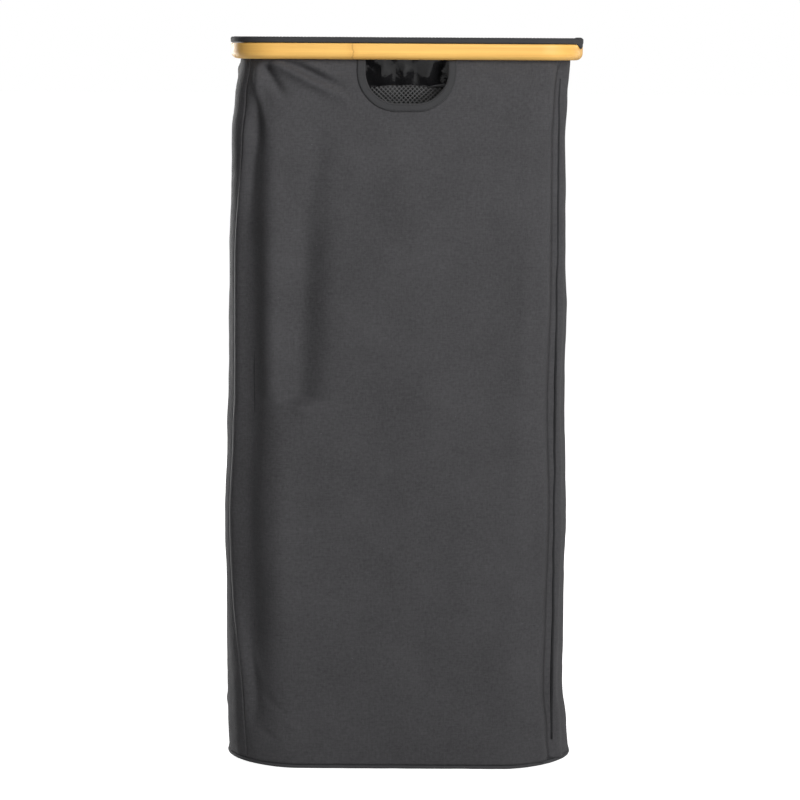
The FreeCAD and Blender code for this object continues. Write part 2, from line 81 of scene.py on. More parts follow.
# Every ring of the hamper is a square whose round corners share four centres. The
# base is rounder, so its four corner centres lie further in.
RIM_ROUND = 44 * MM
CORE = RIM_HIGH.x - RIM_ROUND
WALL_FOOT = WALL_LOW.z
WALL_TOP = WALL_HIGH.z
FOOT_ROUND = 66 * MM
FOOT_CORE = -WALL_LOW.y - FOOT_ROUND
TOP_ROUND = HOOP_HIGH.x + 1.5 * MM - CORE
CLOTH = 1.0 * MM
RIM_UNDER = RIM_LOW.z
GRIP_BEND = 30 * MM
GRIP_TUCK = 1.6 * MM
BAND_WIDE = 7 * MM
GRIP_SIDE = GRIP_HIGH.x - GRIP_BEND - BAND_WIDE
GRIP_MID = GRIP_LOW.z + GRIP_BEND + BAND_WIDE
QUARTER = math.pi / 2
SIDES = ("front", "right", "back", "left")

# ---- shader groups -----------------------------------------------------------


def put(tree, kind, inputs=None, **settings):
    """Adds a node. Each input gets a plain value or another node's output."""
    node = tree.nodes.new(kind)
    for name, value in settings.items():
        setattr(node, name, value)
    for name, value in (inputs or {}).items():
        if isinstance(value, bpy.types.NodeSocket):
            tree.links.new(value, node.inputs[name])
        else:
            node.inputs[name].default_value = value
    return node


def reckon(tree, operation, *values):
    """One sum, product or other step between numbers."""
    return put(tree, "ShaderNodeMath", dict(enumerate(values)), operation=operation).outputs[0]


def blend_colours(tree, share, first, second):
    node = put(tree, "ShaderNodeMix", {0: share, 6: first, 7: second}, data_type="RGBA")
    return node.outputs[2]


def scaled(tree, place, x, y, z=1.0):
    node = put(tree, "ShaderNodeVectorMath", {0: place, 1: (x, y, z)}, operation="MULTIPLY")
    return node.outputs[0]


def cloud(tree, place, scale, detail=2.0, rough=0.5):
    node = put(tree, "ShaderNodeTexNoise",
               {"Vector": place, "Scale": scale, "Detail": detail, "Roughness": rough})
    return node.outputs["Fac"]


def stretched(tree, value, low, high, to_low=0.0, to_high=1.0):
    node = put(tree, "ShaderNodeMapRange",
               {"Value": value, "From Min": low, "From Max": high,
                "To Min": to_low, "To Max": to_high})
    return node.outputs["Result"]


def new_group(name, inputs, outputs):
    """An empty node group with named inputs and outputs."""
    tree = bpy.data.node_groups.new(name, "ShaderNodeTree")
    for title, kind, start in inputs:
        socket = tree.interface.new_socket(name=title, in_out="INPUT", socket_type=kind)
        if start is not None:
            socket.default_value = start
    for title, kind in outputs:
        tree.interface.new_socket(name=title, in_out="OUTPUT", socket_type=kind)
    return tree, tree.nodes.new("NodeGroupInput"), tree.nodes.new("NodeGroupOutput")


def weave_group():
    """Plain weave: over-and-under yarns, uneven dye, a little pale lint."""
    tree, given, result = new_group(
        "plain_weave",
        (("Place", "NodeSocketVector", None), ("Pitch", "NodeSocketFloat", 0.0006),
         ("Tone", "NodeSocketColor", (0.1, 0.1, 0.1, 1)), ("Mottle", "NodeSocketFloat", 0.2),
         ("Lint", "NodeSocketFloat", 0.1), ("Rough", "NodeSocketFloat", 0.8)),
        (("Color", "NodeSocketColor"), ("Height", "NodeSocketFloat"),
         ("Roughness", "NodeSocketFloat")))
    calc = partial(reckon, tree)
    place = given.outputs["Place"]
    along = put(tree, "ShaderNodeSeparateXYZ", {0: place})
    turns = calc("DIVIDE", 2 * math.pi, given.outputs["Pitch"])
    warp = calc("SINE", calc("MULTIPLY", along.outputs["X"], turns))
    weft = calc("SINE", calc("MULTIPLY", along.outputs["Y"], turns))
    crossing = calc("MULTIPLY", warp, weft)
    yarn_across = cloud(tree, scaled(tree, place, 120, 900), 1.0, 1.0)
    yarn_up = cloud(tree, scaled(tree, place, 900, 120), 1.0, 1.0)
    yarn = calc("ADD", yarn_across, yarn_up)
    patch = cloud(tree, place, 16.0, 3.0, 0.6)
    grit = cloud(tree, place, 360.0, 3.0, 0.75)
    uneven = calc("ADD", calc("MULTIPLY_ADD", patch, 1.4, -0.7),
                  calc("MULTIPLY_ADD", yarn, 0.9, -0.9))
    uneven = calc("ADD", uneven, calc("MULTIPLY_ADD", grit, 2.6, -1.3))
    shade = calc("MULTIPLY_ADD", uneven, given.outputs["Mottle"], 1.0)
    toned = put(tree, "ShaderNodeVectorMath", {0: given.outputs["Tone"], 1: shade},
                operation="MULTIPLY").outputs[0]
    specks = put(tree, "ShaderNodeTexVoronoi", {"Vector": place, "Scale": 70.0})
    speck = stretched(tree, specks.outputs["Distance"], 0.03, 0.018)
    speck = calc("MULTIPLY", speck, given.outputs["Lint"])
    dusty = blend_colours(tree, speck, toned, (0.5, 0.5, 0.52, 1))
    height = calc("ADD", calc("MULTIPLY", crossing, 0.5), calc("MULTIPLY", yarn, 0.6))
    rough = calc("MULTIPLY_ADD", calc("SUBTRACT", grit, 0.5), 0.15, given.outputs["Rough"])
    tree.links.new(dusty, result.inputs["Color"])
    tree.links.new(height, result.inputs["Height"])
    tree.links.new(rough, result.inputs["Roughness"])
    return tree


def grain_group():
    """Bamboo or wood grain along the first axis, with joints of the cane."""
    tree, given, result = new_group(
        "cane_grain",
        (("Place", "NodeSocketVector", None), ("Pale", "NodeSocketColor", (0.8, 0.6, 0.3, 1)),
         ("Deep", "NodeSocketColor", (0.6, 0.35, 0.1, 1)), ("Pitch", "NodeSocketFloat", 0.27),
         ("Start", "NodeSocketFloat", 0.0), ("Marks", "NodeSocketFloat", 1.0)),
        (("Color", "NodeSocketColor"), ("Height", "NodeSocketFloat"),
         ("Roughness", "NodeSocketFloat")))
    calc = partial(reckon, tree)
    place = given.outputs["Place"]
    along = put(tree, "ShaderNodeSeparateXYZ", {0: place}).outputs["X"]
    fibre = cloud(tree, scaled(tree, place, 9, 1500, 1500), 1.0, 3.0, 0.6)
    strand = cloud(tree, scaled(tree, place, 4, 330, 330), 1.0, 2.0)
    length = cloud(tree, scaled(tree, place, 7, 30, 30), 1.0, 2.0)
    streak = calc("ADD", calc("MULTIPLY", fibre, 0.55), calc("MULTIPLY", strand, 0.35))
    streak = calc("ADD", streak, calc("MULTIPLY", length, 0.35))
    depth = stretched(tree, streak, 0.50, 0.85)
    shifted = calc("ADD", along, given.outputs["Start"])
    wander = calc("MULTIPLY", calc("SUBTRACT", strand, 0.5), 0.004)
    steps = calc("DIVIDE", calc("ADD", shifted, wander), given.outputs["Pitch"])
    from_mark = calc("ABSOLUTE", calc("SUBTRACT", calc("FRACT", steps), 0.5))
    gap = calc("MULTIPLY", from_mark, given.outputs["Pitch"])
    line = stretched(tree, gap, 0.0009, 0.0003)
    halo = stretched(tree, gap, 0.006, 0.001)
    line = calc("MULTIPLY", line, given.outputs["Marks"])
    halo = calc("MULTIPLY", halo, given.outputs["Marks"])
    colour = blend_colours(tree, depth, given.outputs["Pale"], given.outputs["Deep"])
    colour = blend_colours(tree, calc("MULTIPLY", halo, 0.35), colour,
                           given.outputs["Deep"])
    colour = blend_colours(tree, calc("MULTIPLY", line, 0.4), colour,
                           (0.30, 0.13, 0.03, 1))
    height = calc("SUBTRACT", calc("MULTIPLY", fibre, 0.5),
                  calc("SUBTRACT", line, calc("MULTIPLY", halo, 1.5)))
    rough = calc("MULTIPLY_ADD", fibre, 0.18, 0.42)
    tree.links.new(colour, result.inputs["Color"])
    tree.links.new(height, result.inputs["Height"])
    tree.links.new(rough, result.inputs["Roughness"])
    return tree


def net_group():
    """Knitted net: two sets of slanting threads with open holes between them."""
    tree, given, result = new_group(
        "slant_net",
        (("Place", "NodeSocketVector", None), ("Pitch", "NodeSocketFloat", 0.0042),
         ("Thread", "NodeSocketFloat", 0.36)),
        (("Alpha", "NodeSocketFloat"), ("Height", "NodeSocketFloat")))
    calc = partial(reckon, tree)
    axes = put(tree, "ShaderNodeSeparateXYZ", {0: given.outputs["Place"]})
    covers = []
    for way in ("ADD", "SUBTRACT"):
        run = calc(way, axes.outputs["X"], axes.outputs["Y"])
        part = calc("FRACT", calc("DIVIDE", run, given.outputs["Pitch"]))
        from_middle = calc("ABSOLUTE", calc("SUBTRACT", part, 0.5))
        covers.append(calc("SUBTRACT", given.outputs["Thread"],
                           calc("MULTIPLY", from_middle, 2.0)))
    best = calc("MAXIMUM", *covers)
    solid = calc("GREATER_THAN", best, 0.0)
    tree.links.new(solid, result.inputs["Alpha"])
    tree.links.new(calc("MAXIMUM", best, 0.0), result.inputs["Height"])
    return tree


WEAVE = weave_group()
GRAIN = grain_group()
NET = net_group()

# ---- materials -----------------------------------------------------------------


def finish_of(name, **sockets):
    """A new material with one Principled shader and its plain values."""
    made = bpy.data.materials.new(name)
    made.use_nodes = True
    tree = made.node_tree
    shader = next(node for node in tree.nodes if node.type == "BSDF_PRINCIPLED")
    for socket, value in sockets.items():
        shader.inputs[socket.replace("_", " ")].default_value = value
    return made, tree, shader


def cut_place(tree):
    """The piece's own flat pattern, in metres."""
    return put(tree, "ShaderNodeUVMap", uv_map="cut").outputs[0]


def solid_place(tree):
    return put(tree, "ShaderNodeTexCoord").outputs["Object"]


def use_group(tree, group, place, **values):
    node = put(tree, "ShaderNodeGroup", node_tree=group)
    tree.links.new(place, node.inputs["Place"])
    for name, value in values.items():
        node.inputs[name].default_value = value
    return node


def raise_bumps(tree, shader, height, strength, distance):
    bump = put(tree, "ShaderNodeBump",
               {"Strength": strength, "Distance": distance, "Height": height})
    tree.links.new(bump.outputs[0], shader.inputs["Normal"])


def cloth(name, tone, pitch=0.65 * MM, mottle=0.3, lint=0.12, on_cut=True):
    """Matt woven cloth, with its weave on the flat pattern or through the solid."""
    made, tree, shader = finish_of(name, Specular_IOR_Level=0.15, Sheen_Weight=0.03,
                                   Sheen_Roughness=0.5)
    place = cut_place(tree) if on_cut else solid_place(tree)
    woven = use_group(tree, WEAVE, place, Pitch=pitch, Tone=(*tone, 1), Mottle=mottle,
                      Lint=lint, Rough=0.8)
    tree.links.new(woven.outputs["Color"], shader.inputs["Base Color"])
    tree.links.new(woven.outputs["Roughness"], shader.inputs["Roughness"])
    raise_bumps(tree, shader, woven.outputs["Height"], 0.5, 0.12 * MM)
    return made


def coated(name, tone, rough, crumple):
    """Cloth with a smooth shiny coating, slightly creased."""
    made, tree, shader = finish_of(name, Specular_IOR_Level=0.5)
    place = cut_place(tree)
    creases = cloud(tree, place, 45.0, 4.0, 0.6)
    patch = cloud(tree, place, 12.0, 2.0)
    colour = blend_colours(tree, patch, (*[part * 0.7 for part in tone], 1),
                           (*[part * 1.3 for part in tone], 1))
    tree.links.new(colour, shader.inputs["Base Color"])
    tree.links.new(stretched(tree, patch, 0.3, 0.7, rough, rough + 0.12),
                   shader.inputs["Roughness"])
    raise_bumps(tree, shader, creases, 0.6, crumple)
    return made


def cane(name, pale, deep, marks, start, on_cut=True, coat=0.25):
    made, tree, shader = finish_of(name, Specular_IOR_Level=0.4, Coat_Weight=coat,
                                   Coat_Roughness=0.25)
    place = cut_place(tree) if on_cut else solid_place(tree)
    grain = use_group(tree, GRAIN, place, Pale=(*pale, 1), Deep=(*deep, 1), Pitch=0.262,
                      Start=start, Marks=marks)
    tree.links.new(grain.outputs["Color"], shader.inputs["Base Color"])
    tree.links.new(grain.outputs["Roughness"], shader.inputs["Roughness"])
    raise_bumps(tree, shader, grain.outputs["Height"], 0.35, 0.15 * MM)
    return made


def speckled(name, tone, scale, rough, metallic=0.0, contrast=0.2):
    """Moulded, pressed or drawn stock: an even colour broken by fine grit."""
    made, tree, shader = finish_of(name, Metallic=metallic)
    grit = cloud(tree, solid_place(tree), scale, 3.0)
    colour = blend_colours(tree, grit, (*[part * (1 - contrast) for part in tone], 1),
                           (*[min(part * (1 + contrast), 1) for part in tone], 1))
    tree.links.new(colour, shader.inputs["Base Color"])
    tree.links.new(stretched(tree, grit, 0.3, 0.7, rough - 0.08, rough + 0.08),
                   shader.inputs["Roughness"])
    raise_bumps(tree, shader, grit, 0.3, 0.1 * MM)
    return made


def net_finish():
    made, tree, shader = finish_of("net_thread", Specular_IOR_Level=0.3, Roughness=0.6)
    net = use_group(tree, NET, cut_place(tree))
    # Each thread is painted near black at its edges and grey along its middle: painted shade of
    # the round threads.
    tone = stretched(tree, net.outputs["Height"], 0.0, 0.36)
    colour = blend_colours(tree, tone, (0.004, 0.004, 0.004, 1), (0.12, 0.12, 0.122, 1))
    tree.links.new(colour, shader.inputs["Base Color"])
    tree.links.new(net.outputs["Alpha"], shader.inputs["Alpha"])
    raise_bumps(tree, shader, net.outputs["Height"], 0.6, 0.3 * MM)
    return made


CLOTH_TONE = (0.058, 0.057, 0.060)
OUTER_CLOTH = cloth("outer_cloth", CLOTH_TONE)
LID_CLOTH = cloth("lid_cloth", (0.045, 0.045, 0.047))
BASE_CLOTH = cloth("base_cloth", (0.045, 0.045, 0.047))
SLEEVE_CLOTH = cloth("sleeve_cloth", (0.03, 0.03, 0.032), lint=0.0)
BINDING_TAPE = cloth("binding_tape", (0.045, 0.045, 0.047), pitch=0.9 * MM, mottle=0.12,
                     lint=0.05)
PIPING_TAPE = cloth("piping_tape", (0.055, 0.055, 0.058), pitch=0.8 * MM, mottle=0.15,
                    lint=0.05)
HINGE_TAPE = cloth("hinge_tape", (0.045, 0.045, 0.048), pitch=1.1 * MM, lint=0.05)
HEM_TAPE = cloth("hem_tape", (0.07, 0.07, 0.072), pitch=0.9 * MM, mottle=0.3, lint=0.0)
COVER_CLOTH = cloth("cover_cloth", (0.035, 0.035, 0.037), on_cut=False, lint=0.05)
THREAD = speckled("sewing_thread", (0.014, 0.014, 0.015), 900.0, 0.6)
WALL_COATING = coated("wall_coating", (0.012, 0.012, 0.013), 0.28, 0.6 * MM)
LID_COATING = coated("lid_coating", (0.02, 0.02, 0.021), 0.35, 0.5 * MM)
SHINY_BAND = coated("shiny_band", (0.012, 0.012, 0.013), 0.14, 2.4 * MM)
NET_THREAD = net_finish()
BAMBOO = cane("bamboo", (0.93, 0.565, 0.15), (0.73, 0.37, 0.08), 1.0, 0.083,
              coat=0.04)
HOOP_CANE = cane("hoop_cane", (0.62, 0.42, 0.20), (0.46, 0.27, 0.11), 0.0, 0.0, on_cut=False,
                 coat=0.0)
FIBREBOARD = speckled("fibreboard", (0.33, 0.22, 0.13), 600.0, 0.75)
STEEL = speckled("screw_steel", (0.55, 0.55, 0.56), 500.0, 0.35, metallic=1.0, contrast=0.1)
ROD_STEEL = speckled("rod_steel", (0.36, 0.36, 0.38), 300.0, 0.42, metallic=1.0, contrast=0.1)
NICKEL = speckled("stud_nickel", (0.20, 0.20, 0.21), 400.0, 0.3, metallic=1.0, contrast=0.1)
CAP_PLASTIC = speckled("cap_plastic", (0.02, 0.02, 0.02), 700.0, 0.5)

# ---- making pieces ---------------------------------------------------------------


def soft_step(value):
    """0 below 0, 1 above 1, and an even curve between."""
    held = np.clip(value, 0.0, 1.0)
    return held * held * (3 - 2 * held)


def piece(name, bm, body, slot, *finishes, stands_for=(), solidify=0.0):
    """Turns a bmesh into a finished piece that rides on its body."""
    mesh = bpy.data.meshes.new(name)
    bm.to_mesh(mesh)
    bm.free()
    made = bpy.data.objects.new(name, mesh)
    bpy.context.scene.collection.objects.link(made)
    for one in finishes:
        mesh.materials.append(one)
    for face in mesh.polygons:
        face.use_smooth = True
    if solidify:
        wall = made.modifiers.new("thickness", "SOLIDIFY")
        wall.thickness = solidify
        wall.offset = -1
        wall.material_offset = len(finishes) - 1
    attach(made, body)
    if stands_for:
        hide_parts(*stands_for)
    return made


def read_points(bm):
    return np.array([vert.co for vert in bm.verts], float).reshape(-1, 3)


def write_points(bm, points):
    for vert, spot in zip(bm.verts, points):
        vert.co = spot


def lay_flat(bm, place):
    """Gives every face corner its spot on the flat pattern, worked out from its vertex."""
    layer = bm.loops.layers.uv.new("cut")
    for face in bm.faces:
        for loop in face.loops:
            loop[layer].uv = place(loop.vert)
    return layer


def push_out(points, push):
    """Moves points level and away from the middle of the hamper."""
    flat = np.hypot(points[:, 0], points[:, 1])
    points[:, :2] += points[:, :2] / flat[:, None] * push[:, None]


def pulled(bm, moving, stride):
    """Extrudes an outline by one straight step and gives back its new end."""
    run = [item for item in moving if isinstance(item, bmesh.types.BMEdge)]
    grown = bmesh.ops.extrude_edge_only(bm, edges=run)["geom"]
    moving = [item for item in grown if not isinstance(item, bmesh.types.BMFace)]
    spots = [item for item in moving if isinstance(item, bmesh.types.BMVert)]
    bmesh.ops.translate(bm, verts=spots, vec=stride)
    return moving


def swung(bm, moving, centre, axis, angle, steps):
    """Spins an outline round a corner and gives back its new end."""
    spun = bmesh.ops.spin(bm, geom=moving, cent=centre, axis=axis, dvec=(0, 0, 0),
                          angle=angle, steps=steps, use_merge=False, use_duplicate=False)
    return [item for item in spun["geom_last"] if not isinstance(item, bmesh.types.BMFace)]


def wobble(points, scale, seed):
    """Smooth unevenness from -1 to 1 at each point, the same on every run."""
    away = Vector((seed * 7.1, seed * 3.7, seed * 5.3))
    return np.array([noise.noise(Vector(spot) * scale + away) for spot in points])


def ring_spot(run, bend, core=CORE):
    """A point and its outward direction on the front of a ring: run is measured
    along the ring from its middle, and bend is the corner radius."""
    past = np.maximum(np.abs(run) - core, 0)
    angle = past / bend
    way = np.sign(run)
    x = way * (np.minimum(np.abs(run), core) + bend * np.sin(angle))
    y = -(core + bend * np.cos(angle))
    return x, y, way * np.sin(angle), -np.cos(angle)


def turned(x, y, quarters):
    """Carries a front point to one of the other sides."""
    for _ in range(quarters % 4):
        x, y = -y, x
    return x, y


def ring_radius(x, y, core=CORE):
    return np.hypot(np.maximum(np.abs(x) - core, 0), np.maximum(np.abs(y) - core, 0))


def ring_run(x, y, bend, core=CORE):
    """Distance round a ring from the middle of the back, seen from above."""
    side = 2 * core + bend * QUARTER
    if abs(y) >= abs(x):
        quarters, lead, deep = (0, -x, y) if y > 0 else (2, x, -y)
    else:
        quarters, lead, deep = (1, -y, -x) if x < 0 else (3, y, x)
    past = abs(lead) - core
    run = lead if past <= 0 else math.copysign(
        core + bend * math.atan2(past, max(deep - core, 1e-6)), lead)
    return quarters * side + run


def rounded_outline(corners, steps=5):
    """A closed outline from corners given as (out, up, rounding)."""
    spots = []
    count = len(corners)
    for number, (x, y, bend) in enumerate(corners):
        here = Vector((x, y))
        before = (Vector(corners[number - 1][:2]) - here).normalized()
        after = (Vector(corners[(number + 1) % count][:2]) - here).normalized()
        if bend <= 0:
            spots.append((x, y))
            continue
        half = before.angle(after) / 2
        back = bend / math.tan(half)
        middle = here + (before + after).normalized() * (bend / math.sin(half))
        first = here + before * back - middle
        last = here + after * back - middle
        for step in range(steps + 1):
            share = step / steps
            out = (first * (1 - share) + last * share).normalized() * bend + middle
            spots.append((out.x, out.y))
    return spots


def sweep_ring(outline, closed=True, straight=16, corner=10, core=CORE):
    """Carries an outline of (corner radius, height) points round the hamper,
    starting and ending in the middle of the back."""
    bm = bmesh.new()
    verts = [bm.verts.new((0, core + out, up)) for out, up in outline]
    count = len(verts)
    links = count if closed else count - 1
    edges = [bm.edges.new((verts[n], verts[(n + 1) % count])) for n in range(links)]
    moving = verts + edges
    for quarter in range(4):
        turn = Matrix.Rotation(quarter * QUARTER, 4, "Z")
        centre = turn @ Vector((-core, core, 0))
        stride = turn @ Vector((-core / straight, 0, 0))
        for part in range(2):
            for _ in range(straight):
                moving = pulled(bm, moving, stride)
            if part == 0:
                moving = swung(bm, moving, centre, (0, 0, 1), QUARTER, corner)
                stride = turn @ Vector((0, -core / straight, 0))
    bmesh.ops.remove_doubles(bm, verts=bm.verts, dist=1e-6)
    bmesh.ops.recalc_face_normals(bm, faces=bm.faces)
    return bm


def cut_on_ring(bm, outline, bend, closed=True, core=CORE):
    """Lays the flat pattern on a swept ring: round it, and across the outline."""
    across = {}
    gone = 0.0
    before = None
    for spot in list(outline) + ([outline[0]] if closed else []):
        if before is not None:
            gone += math.dist(before, spot)
        across.setdefault((round(spot[0], 6), round(spot[1], 6)), gone)
        before = spot
    total = 4 * (2 * core + bend * QUARTER)
    layer = bm.loops.layers.uv.new("cut")
    for face in bm.faces:
        middle = face.calc_center_median()
        home = ring_run(middle.x, middle.y, bend, core)
        places = []
        for loop in face.loops:
            spot = loop.vert.co
            run = ring_run(spot.x, spot.y, bend, core)
            run += total * round((home - run) / total)
            key = (round(float(ring_radius(spot.x, spot.y, core)), 6), round(spot.z, 6))
            places.append((loop, run, across.get(key)))
        for loop, run, height in places:
            loop[layer].uv = (run, height if height is not None else loop.vert.co.z)


def square_sheet(bend, height, cells, core=CORE):
    """A flat sheet that fills a ring, made from a grid eased into its corners."""
    bm = bmesh.new()
    bmesh.ops.create_grid(bm, x_segments=cells, y_segments=cells, size=1)
    points = read_points(bm)
    a, b = points[:, 0], points[:, 1]
    reach = np.maximum(np.abs(a), np.abs(b))
    safe = np.maximum(reach, 1e-9)
    side_run = core + bend * QUARTER / 2
    front = np.abs(b) >= np.abs(a)
    share = np.where(front, a, b) / safe
    x, y, _, _ = ring_spot(share * side_run, bend, core)
    out = -y
    px = np.where(front, x, np.sign(a) * out) * reach
    py = np.where(front, np.sign(b) * out, x) * reach
    write_points(bm, np.stack([px, py, np.full(len(px), height)], axis=1))
    lay_flat(bm, lambda vert: vert.co.xy)
    return bm


# ---- how the outer cloth hangs ------------------------------------------------------

# How far the cloth stands out past its cut, by height, in millimetres: it has
# slipped to the left below the rim, and at the base its corners lift off the floor.
LEFT_SLACK = ((0, 5.0), (70, 7.5), (160, 9.0), (240, 11.3), (320, 8.5), (355, 7.3), (545, 8.0),
              (600, 8.0), (636, 4.7), (672, 0.0))
RIGHT_SLACK = ((0, -3.0), (30, -5.0), (75, -9.0), (150, -7.5), (240, -5.5), (350, -8.5),
               (450, -6.5), (600, -7.0), (640, -5.5), (672, -2.5))
# Angle at which the seam lies on each corner, from the front or back, by height.
SLIPPED_SEAM = ((0, 45), (50, 46), (200, 66), (480, 66), (607, 45), (688, 45))
EVEN_SEAM = ((0, 45), (688, 45))
# How deep each corner seam is drawn in, by side and way: 0.8 where not given.
SEAM_DEPTH = {("front", 1): 1.4, ("right", -1): 1.4, ("front", -1): 0.25, ("left", 1): 0.25}
CORNER_LIFT = 1.3 * MM

# The folds of each side as (start, end, width, height, fade in, fade out): start and
# end are (distance from the middle of the side, height), all in millimetres.
FOLDS = {
    "front": (
        ((-74, 622), (-92, 520), 10, -3.2, 0.4, 0.4),
        ((-88, 575), (-97, 347), 15, -11.0, 0.4, 0.04),
        ((-119, 640), (-120, 350), 10, 3.2, 0.3, 0.05),
        ((-102, 352), (-84, 340), 8, 1.6, 0.4, 0.4),
        ((-142, 640), (-142, 12), 19, -8.5, 0.06, 0.1),
        ((-107, 346), (-112, 70), 11, 1.5, 0.1, 0.4),
        ((-127, 672), (-46, 630), 5.0, 5.6, 0.06, 0.5),
        ((-116, 672), (-52, 641), 4.2, -6.2, 0.06, 0.5),
        ((-134, 668), (-106, 632), 3.8, -5.6, 0.15, 0.5),
        ((-141, 668), (-122, 596), 4.5, 3.8, 0.1, 0.5),
        ((-134, 652), (-132, 572), 7.5, -4.0, 0.3, 0.5),
        ((-98, 671), (-62, 652), 3.8, 1.8, 0.1, 0.5),
        ((118, 545), (80, 345), 26, -1.3, 0.4, 0.4),
        ((126, 300), (98, 110), 22, -0.9, 0.4, 0.4),
        ((-34, 616), (34, 616), 10, -0.8, 0.4, 0.4),
        ((26, 560), (10, 120), 36, 1.3, 0.4, 0.4),
        ((-40, 500), (-30, 60), 30, -0.8, 0.4, 0.4),
        ((-131, 74), (-98, 40), 4.2, -1.3, 0.3, 0.4),
        ((-121, 62), (-90, 28), 4.0, 0.9, 0.3, 0.4),
        ((-137, 42), (-110, 20), 3.4, -1.0, 0.3, 0.4),
        ((-148, 120), (-124, 66), 4.6, 0.9, 0.3, 0.4),
    ),
    "left": (
        ((98, 596), (112, 250), 12, 2.2, 0.3, 0.3),
        ((70, 640), (86, 330), 15, -4.2, 0.3, 0.15),
        ((126, 668), (60, 628), 5, 1.8, 0.12, 0.5),
        ((116, 664), (84, 634), 4, -1.6, 0.2, 0.5),
        ((-120, 668), (-72, 640), 5, 1.5, 0.12, 0.5),
        ((-96, 520), (-88, 160), 20, -2.4, 0.3, 0.3),
        ((10, 420), (-14, 90), 34, 1.8, 0.4, 0.4),
        ((110, 60), (70, 30), 5, 1.2, 0.3, 0.4),
    ),
    "right": (
        ((-96, 560), (-84, 210), 16, -2.6, 0.3, 0.2),
        ((-112, 520), (-108, 240), 9, 1.3, 0.3, 0.3),
        ((30, 610), (18, 180), 32, 1.5, 0.4, 0.4),
        ((104, 480), (92, 140), 18, -3.0, 0.3, 0.15),
        ((120, 668), (76, 634), 5, 1.6, 0.12, 0.5),
        ((-124, 666), (-92, 642), 4, -1.3, 0.2, 0.5),
        ((118, 66), (82, 30), 4.5, -1.2, 0.3, 0.4),
    ),
    "back": (
        ((84, 600), (98, 330), 16, -4.4, 0.35, 0.08),
        ((110, 620), (116, 340), 9, 1.8, 0.3, 0.1),
        ((-98, 470), (-90, 130), 18, -3.0, 0.3, 0.2),
        ((-126, 668), (-62, 636), 5, 1.6, 0.12, 0.5),
        ((122, 668), (82, 640), 4.5, 1.5, 0.12, 0.5),
        ((-20, 560), (6, 120), 34, 1.4, 0.4, 0.4),
        ((112, 62), (84, 28), 4.5, 1.1, 0.3, 0.4),
    ),
}


def by_height(table, heights):
    """Reads a (height, value) table in millimetres, eased between its rows."""
    levels = np.array([row[0] for row in table], float) * MM
    values = np.array([row[1] for row in table], float)
    spot = np.clip(heights, levels[0], levels[-1])
    after = np.clip(np.searchsorted(levels, spot, side="right"), 1, len(levels) - 1)
    share = (spot - levels[after - 1]) / (levels[after] - levels[after - 1])
    return values[after - 1] + (values[after] - values[after - 1]) * soft_step(share)


def wall_shape(heights):
    """Corner radius and corner centre of the outer cloth at a height."""
    share = (heights - WALL_FOOT) / (WALL_TOP - WALL_FOOT)
    return (FOOT_ROUND + (TOP_ROUND - FOOT_ROUND) * share,
            FOOT_CORE + (CORE - FOOT_CORE) * share)


def seam_angle(corner, heights):
    table = SLIPPED_SEAM if corner == "front_left" else EVEN_SEAM
    return np.radians(by_height(table, heights))


def seam_limits(side, heights):
    """Angles past the corner centres at which a side's two seams lie."""
    if side == "front":
        return seam_angle("front_left", heights), seam_angle("front_right", heights)
    if side == "left":
        return seam_angle("back_left", heights), QUARTER - seam_angle("front_left", heights)
    return seam_angle("other", heights), seam_angle("other", heights)


def fold_height(side, run, heights):
    """Sum of the folds of one side, in metres, outwards."""
    total = np.zeros(len(run))
    for start, end, width, height, fade_in, fade_out in FOLDS[side]:
        ax, az = start[0] * MM, start[1] * MM
        bx, bz = end[0] * MM, end[1] * MM
        length = math.hypot(bx - ax, bz - az)
        ux, uz = (bx - ax) / length, (bz - az) / length
        share = ((run - ax) * ux + (heights - az) * uz) / length
        off = (run - ax) * uz - (heights - az) * ux
        body = np.exp(-(off / (width * MM)) ** 2)
        ends = soft_step(share / fade_in) * soft_step((1 - share) / fade_out)
        total += height * MM * body * ends
    return total


def seam_height(side, run, heights, bend, core):
    """The pinch at each corner seam and the soft roll beside it."""
    left, right = seam_limits(side, heights)
    total = np.zeros(len(run))
    for angle, way in ((left, -1), (right, 1)):
        gap = (core + bend * angle) - run * way
        strong = SEAM_DEPTH.get((side, way), 0.8)
        pinch = -2.2 * np.exp(-(gap / (4.2 * MM)) ** 2)
        roll = 1.4 * np.exp(-((gap - 13 * MM) / (5.5 * MM)) ** 2)
        total += (pinch + roll) * MM * strong
    return total


def slack(x, y, z):
    """Sideways slip of the whole cloth box, as (dx, dz)."""
    left = soft_step((-x - 60 * MM) / (75 * MM))
    right = soft_step((x - 60 * MM) / (75 * MM))
    dx = (by_height(RIGHT_SLACK, z) * right - by_height(LEFT_SLACK, z) * left) * MM
    reach = np.clip((np.abs(x) + np.abs(y) - 254 * MM) / (36 * MM), 0, 1)
    edge = soft_step((ring_radius(x, y, FOOT_CORE) - 62 * MM) / (3 * MM))
    low = np.clip(1 - z / (70 * MM), 0, 1) ** 2
    return dx, CORNER_LIFT * reach ** 2 * edge * low


def wall_push(side, run, heights, seed):
    """How far the cloth of a side stands out from its cut, in metres."""
    bend, core = wall_shape(heights)
    flat = np.stack([run, heights, np.full(len(run), seed * 0.9)], axis=1)
    push = fold_height(side, run, heights)
    push += wobble(flat, 24.0, seed) * 0.9 * MM + wobble(flat, 75.0, seed + 9) * 0.28 * MM
    left, right = seam_limits(side, heights)
    gap = np.minimum(core + bend * left + run, core + bend * right - run)
    near_top = soft_step((RIM_UNDER + 1 * MM - heights) / (9 * MM))
    near_foot = soft_step((heights - 2 * MM) / (20 * MM))
    push = push * near_top * (0.25 + 0.75 * near_foot) * soft_step(gap / (14 * MM))
    return push + seam_height(side, run, heights, bend, core) * near_top


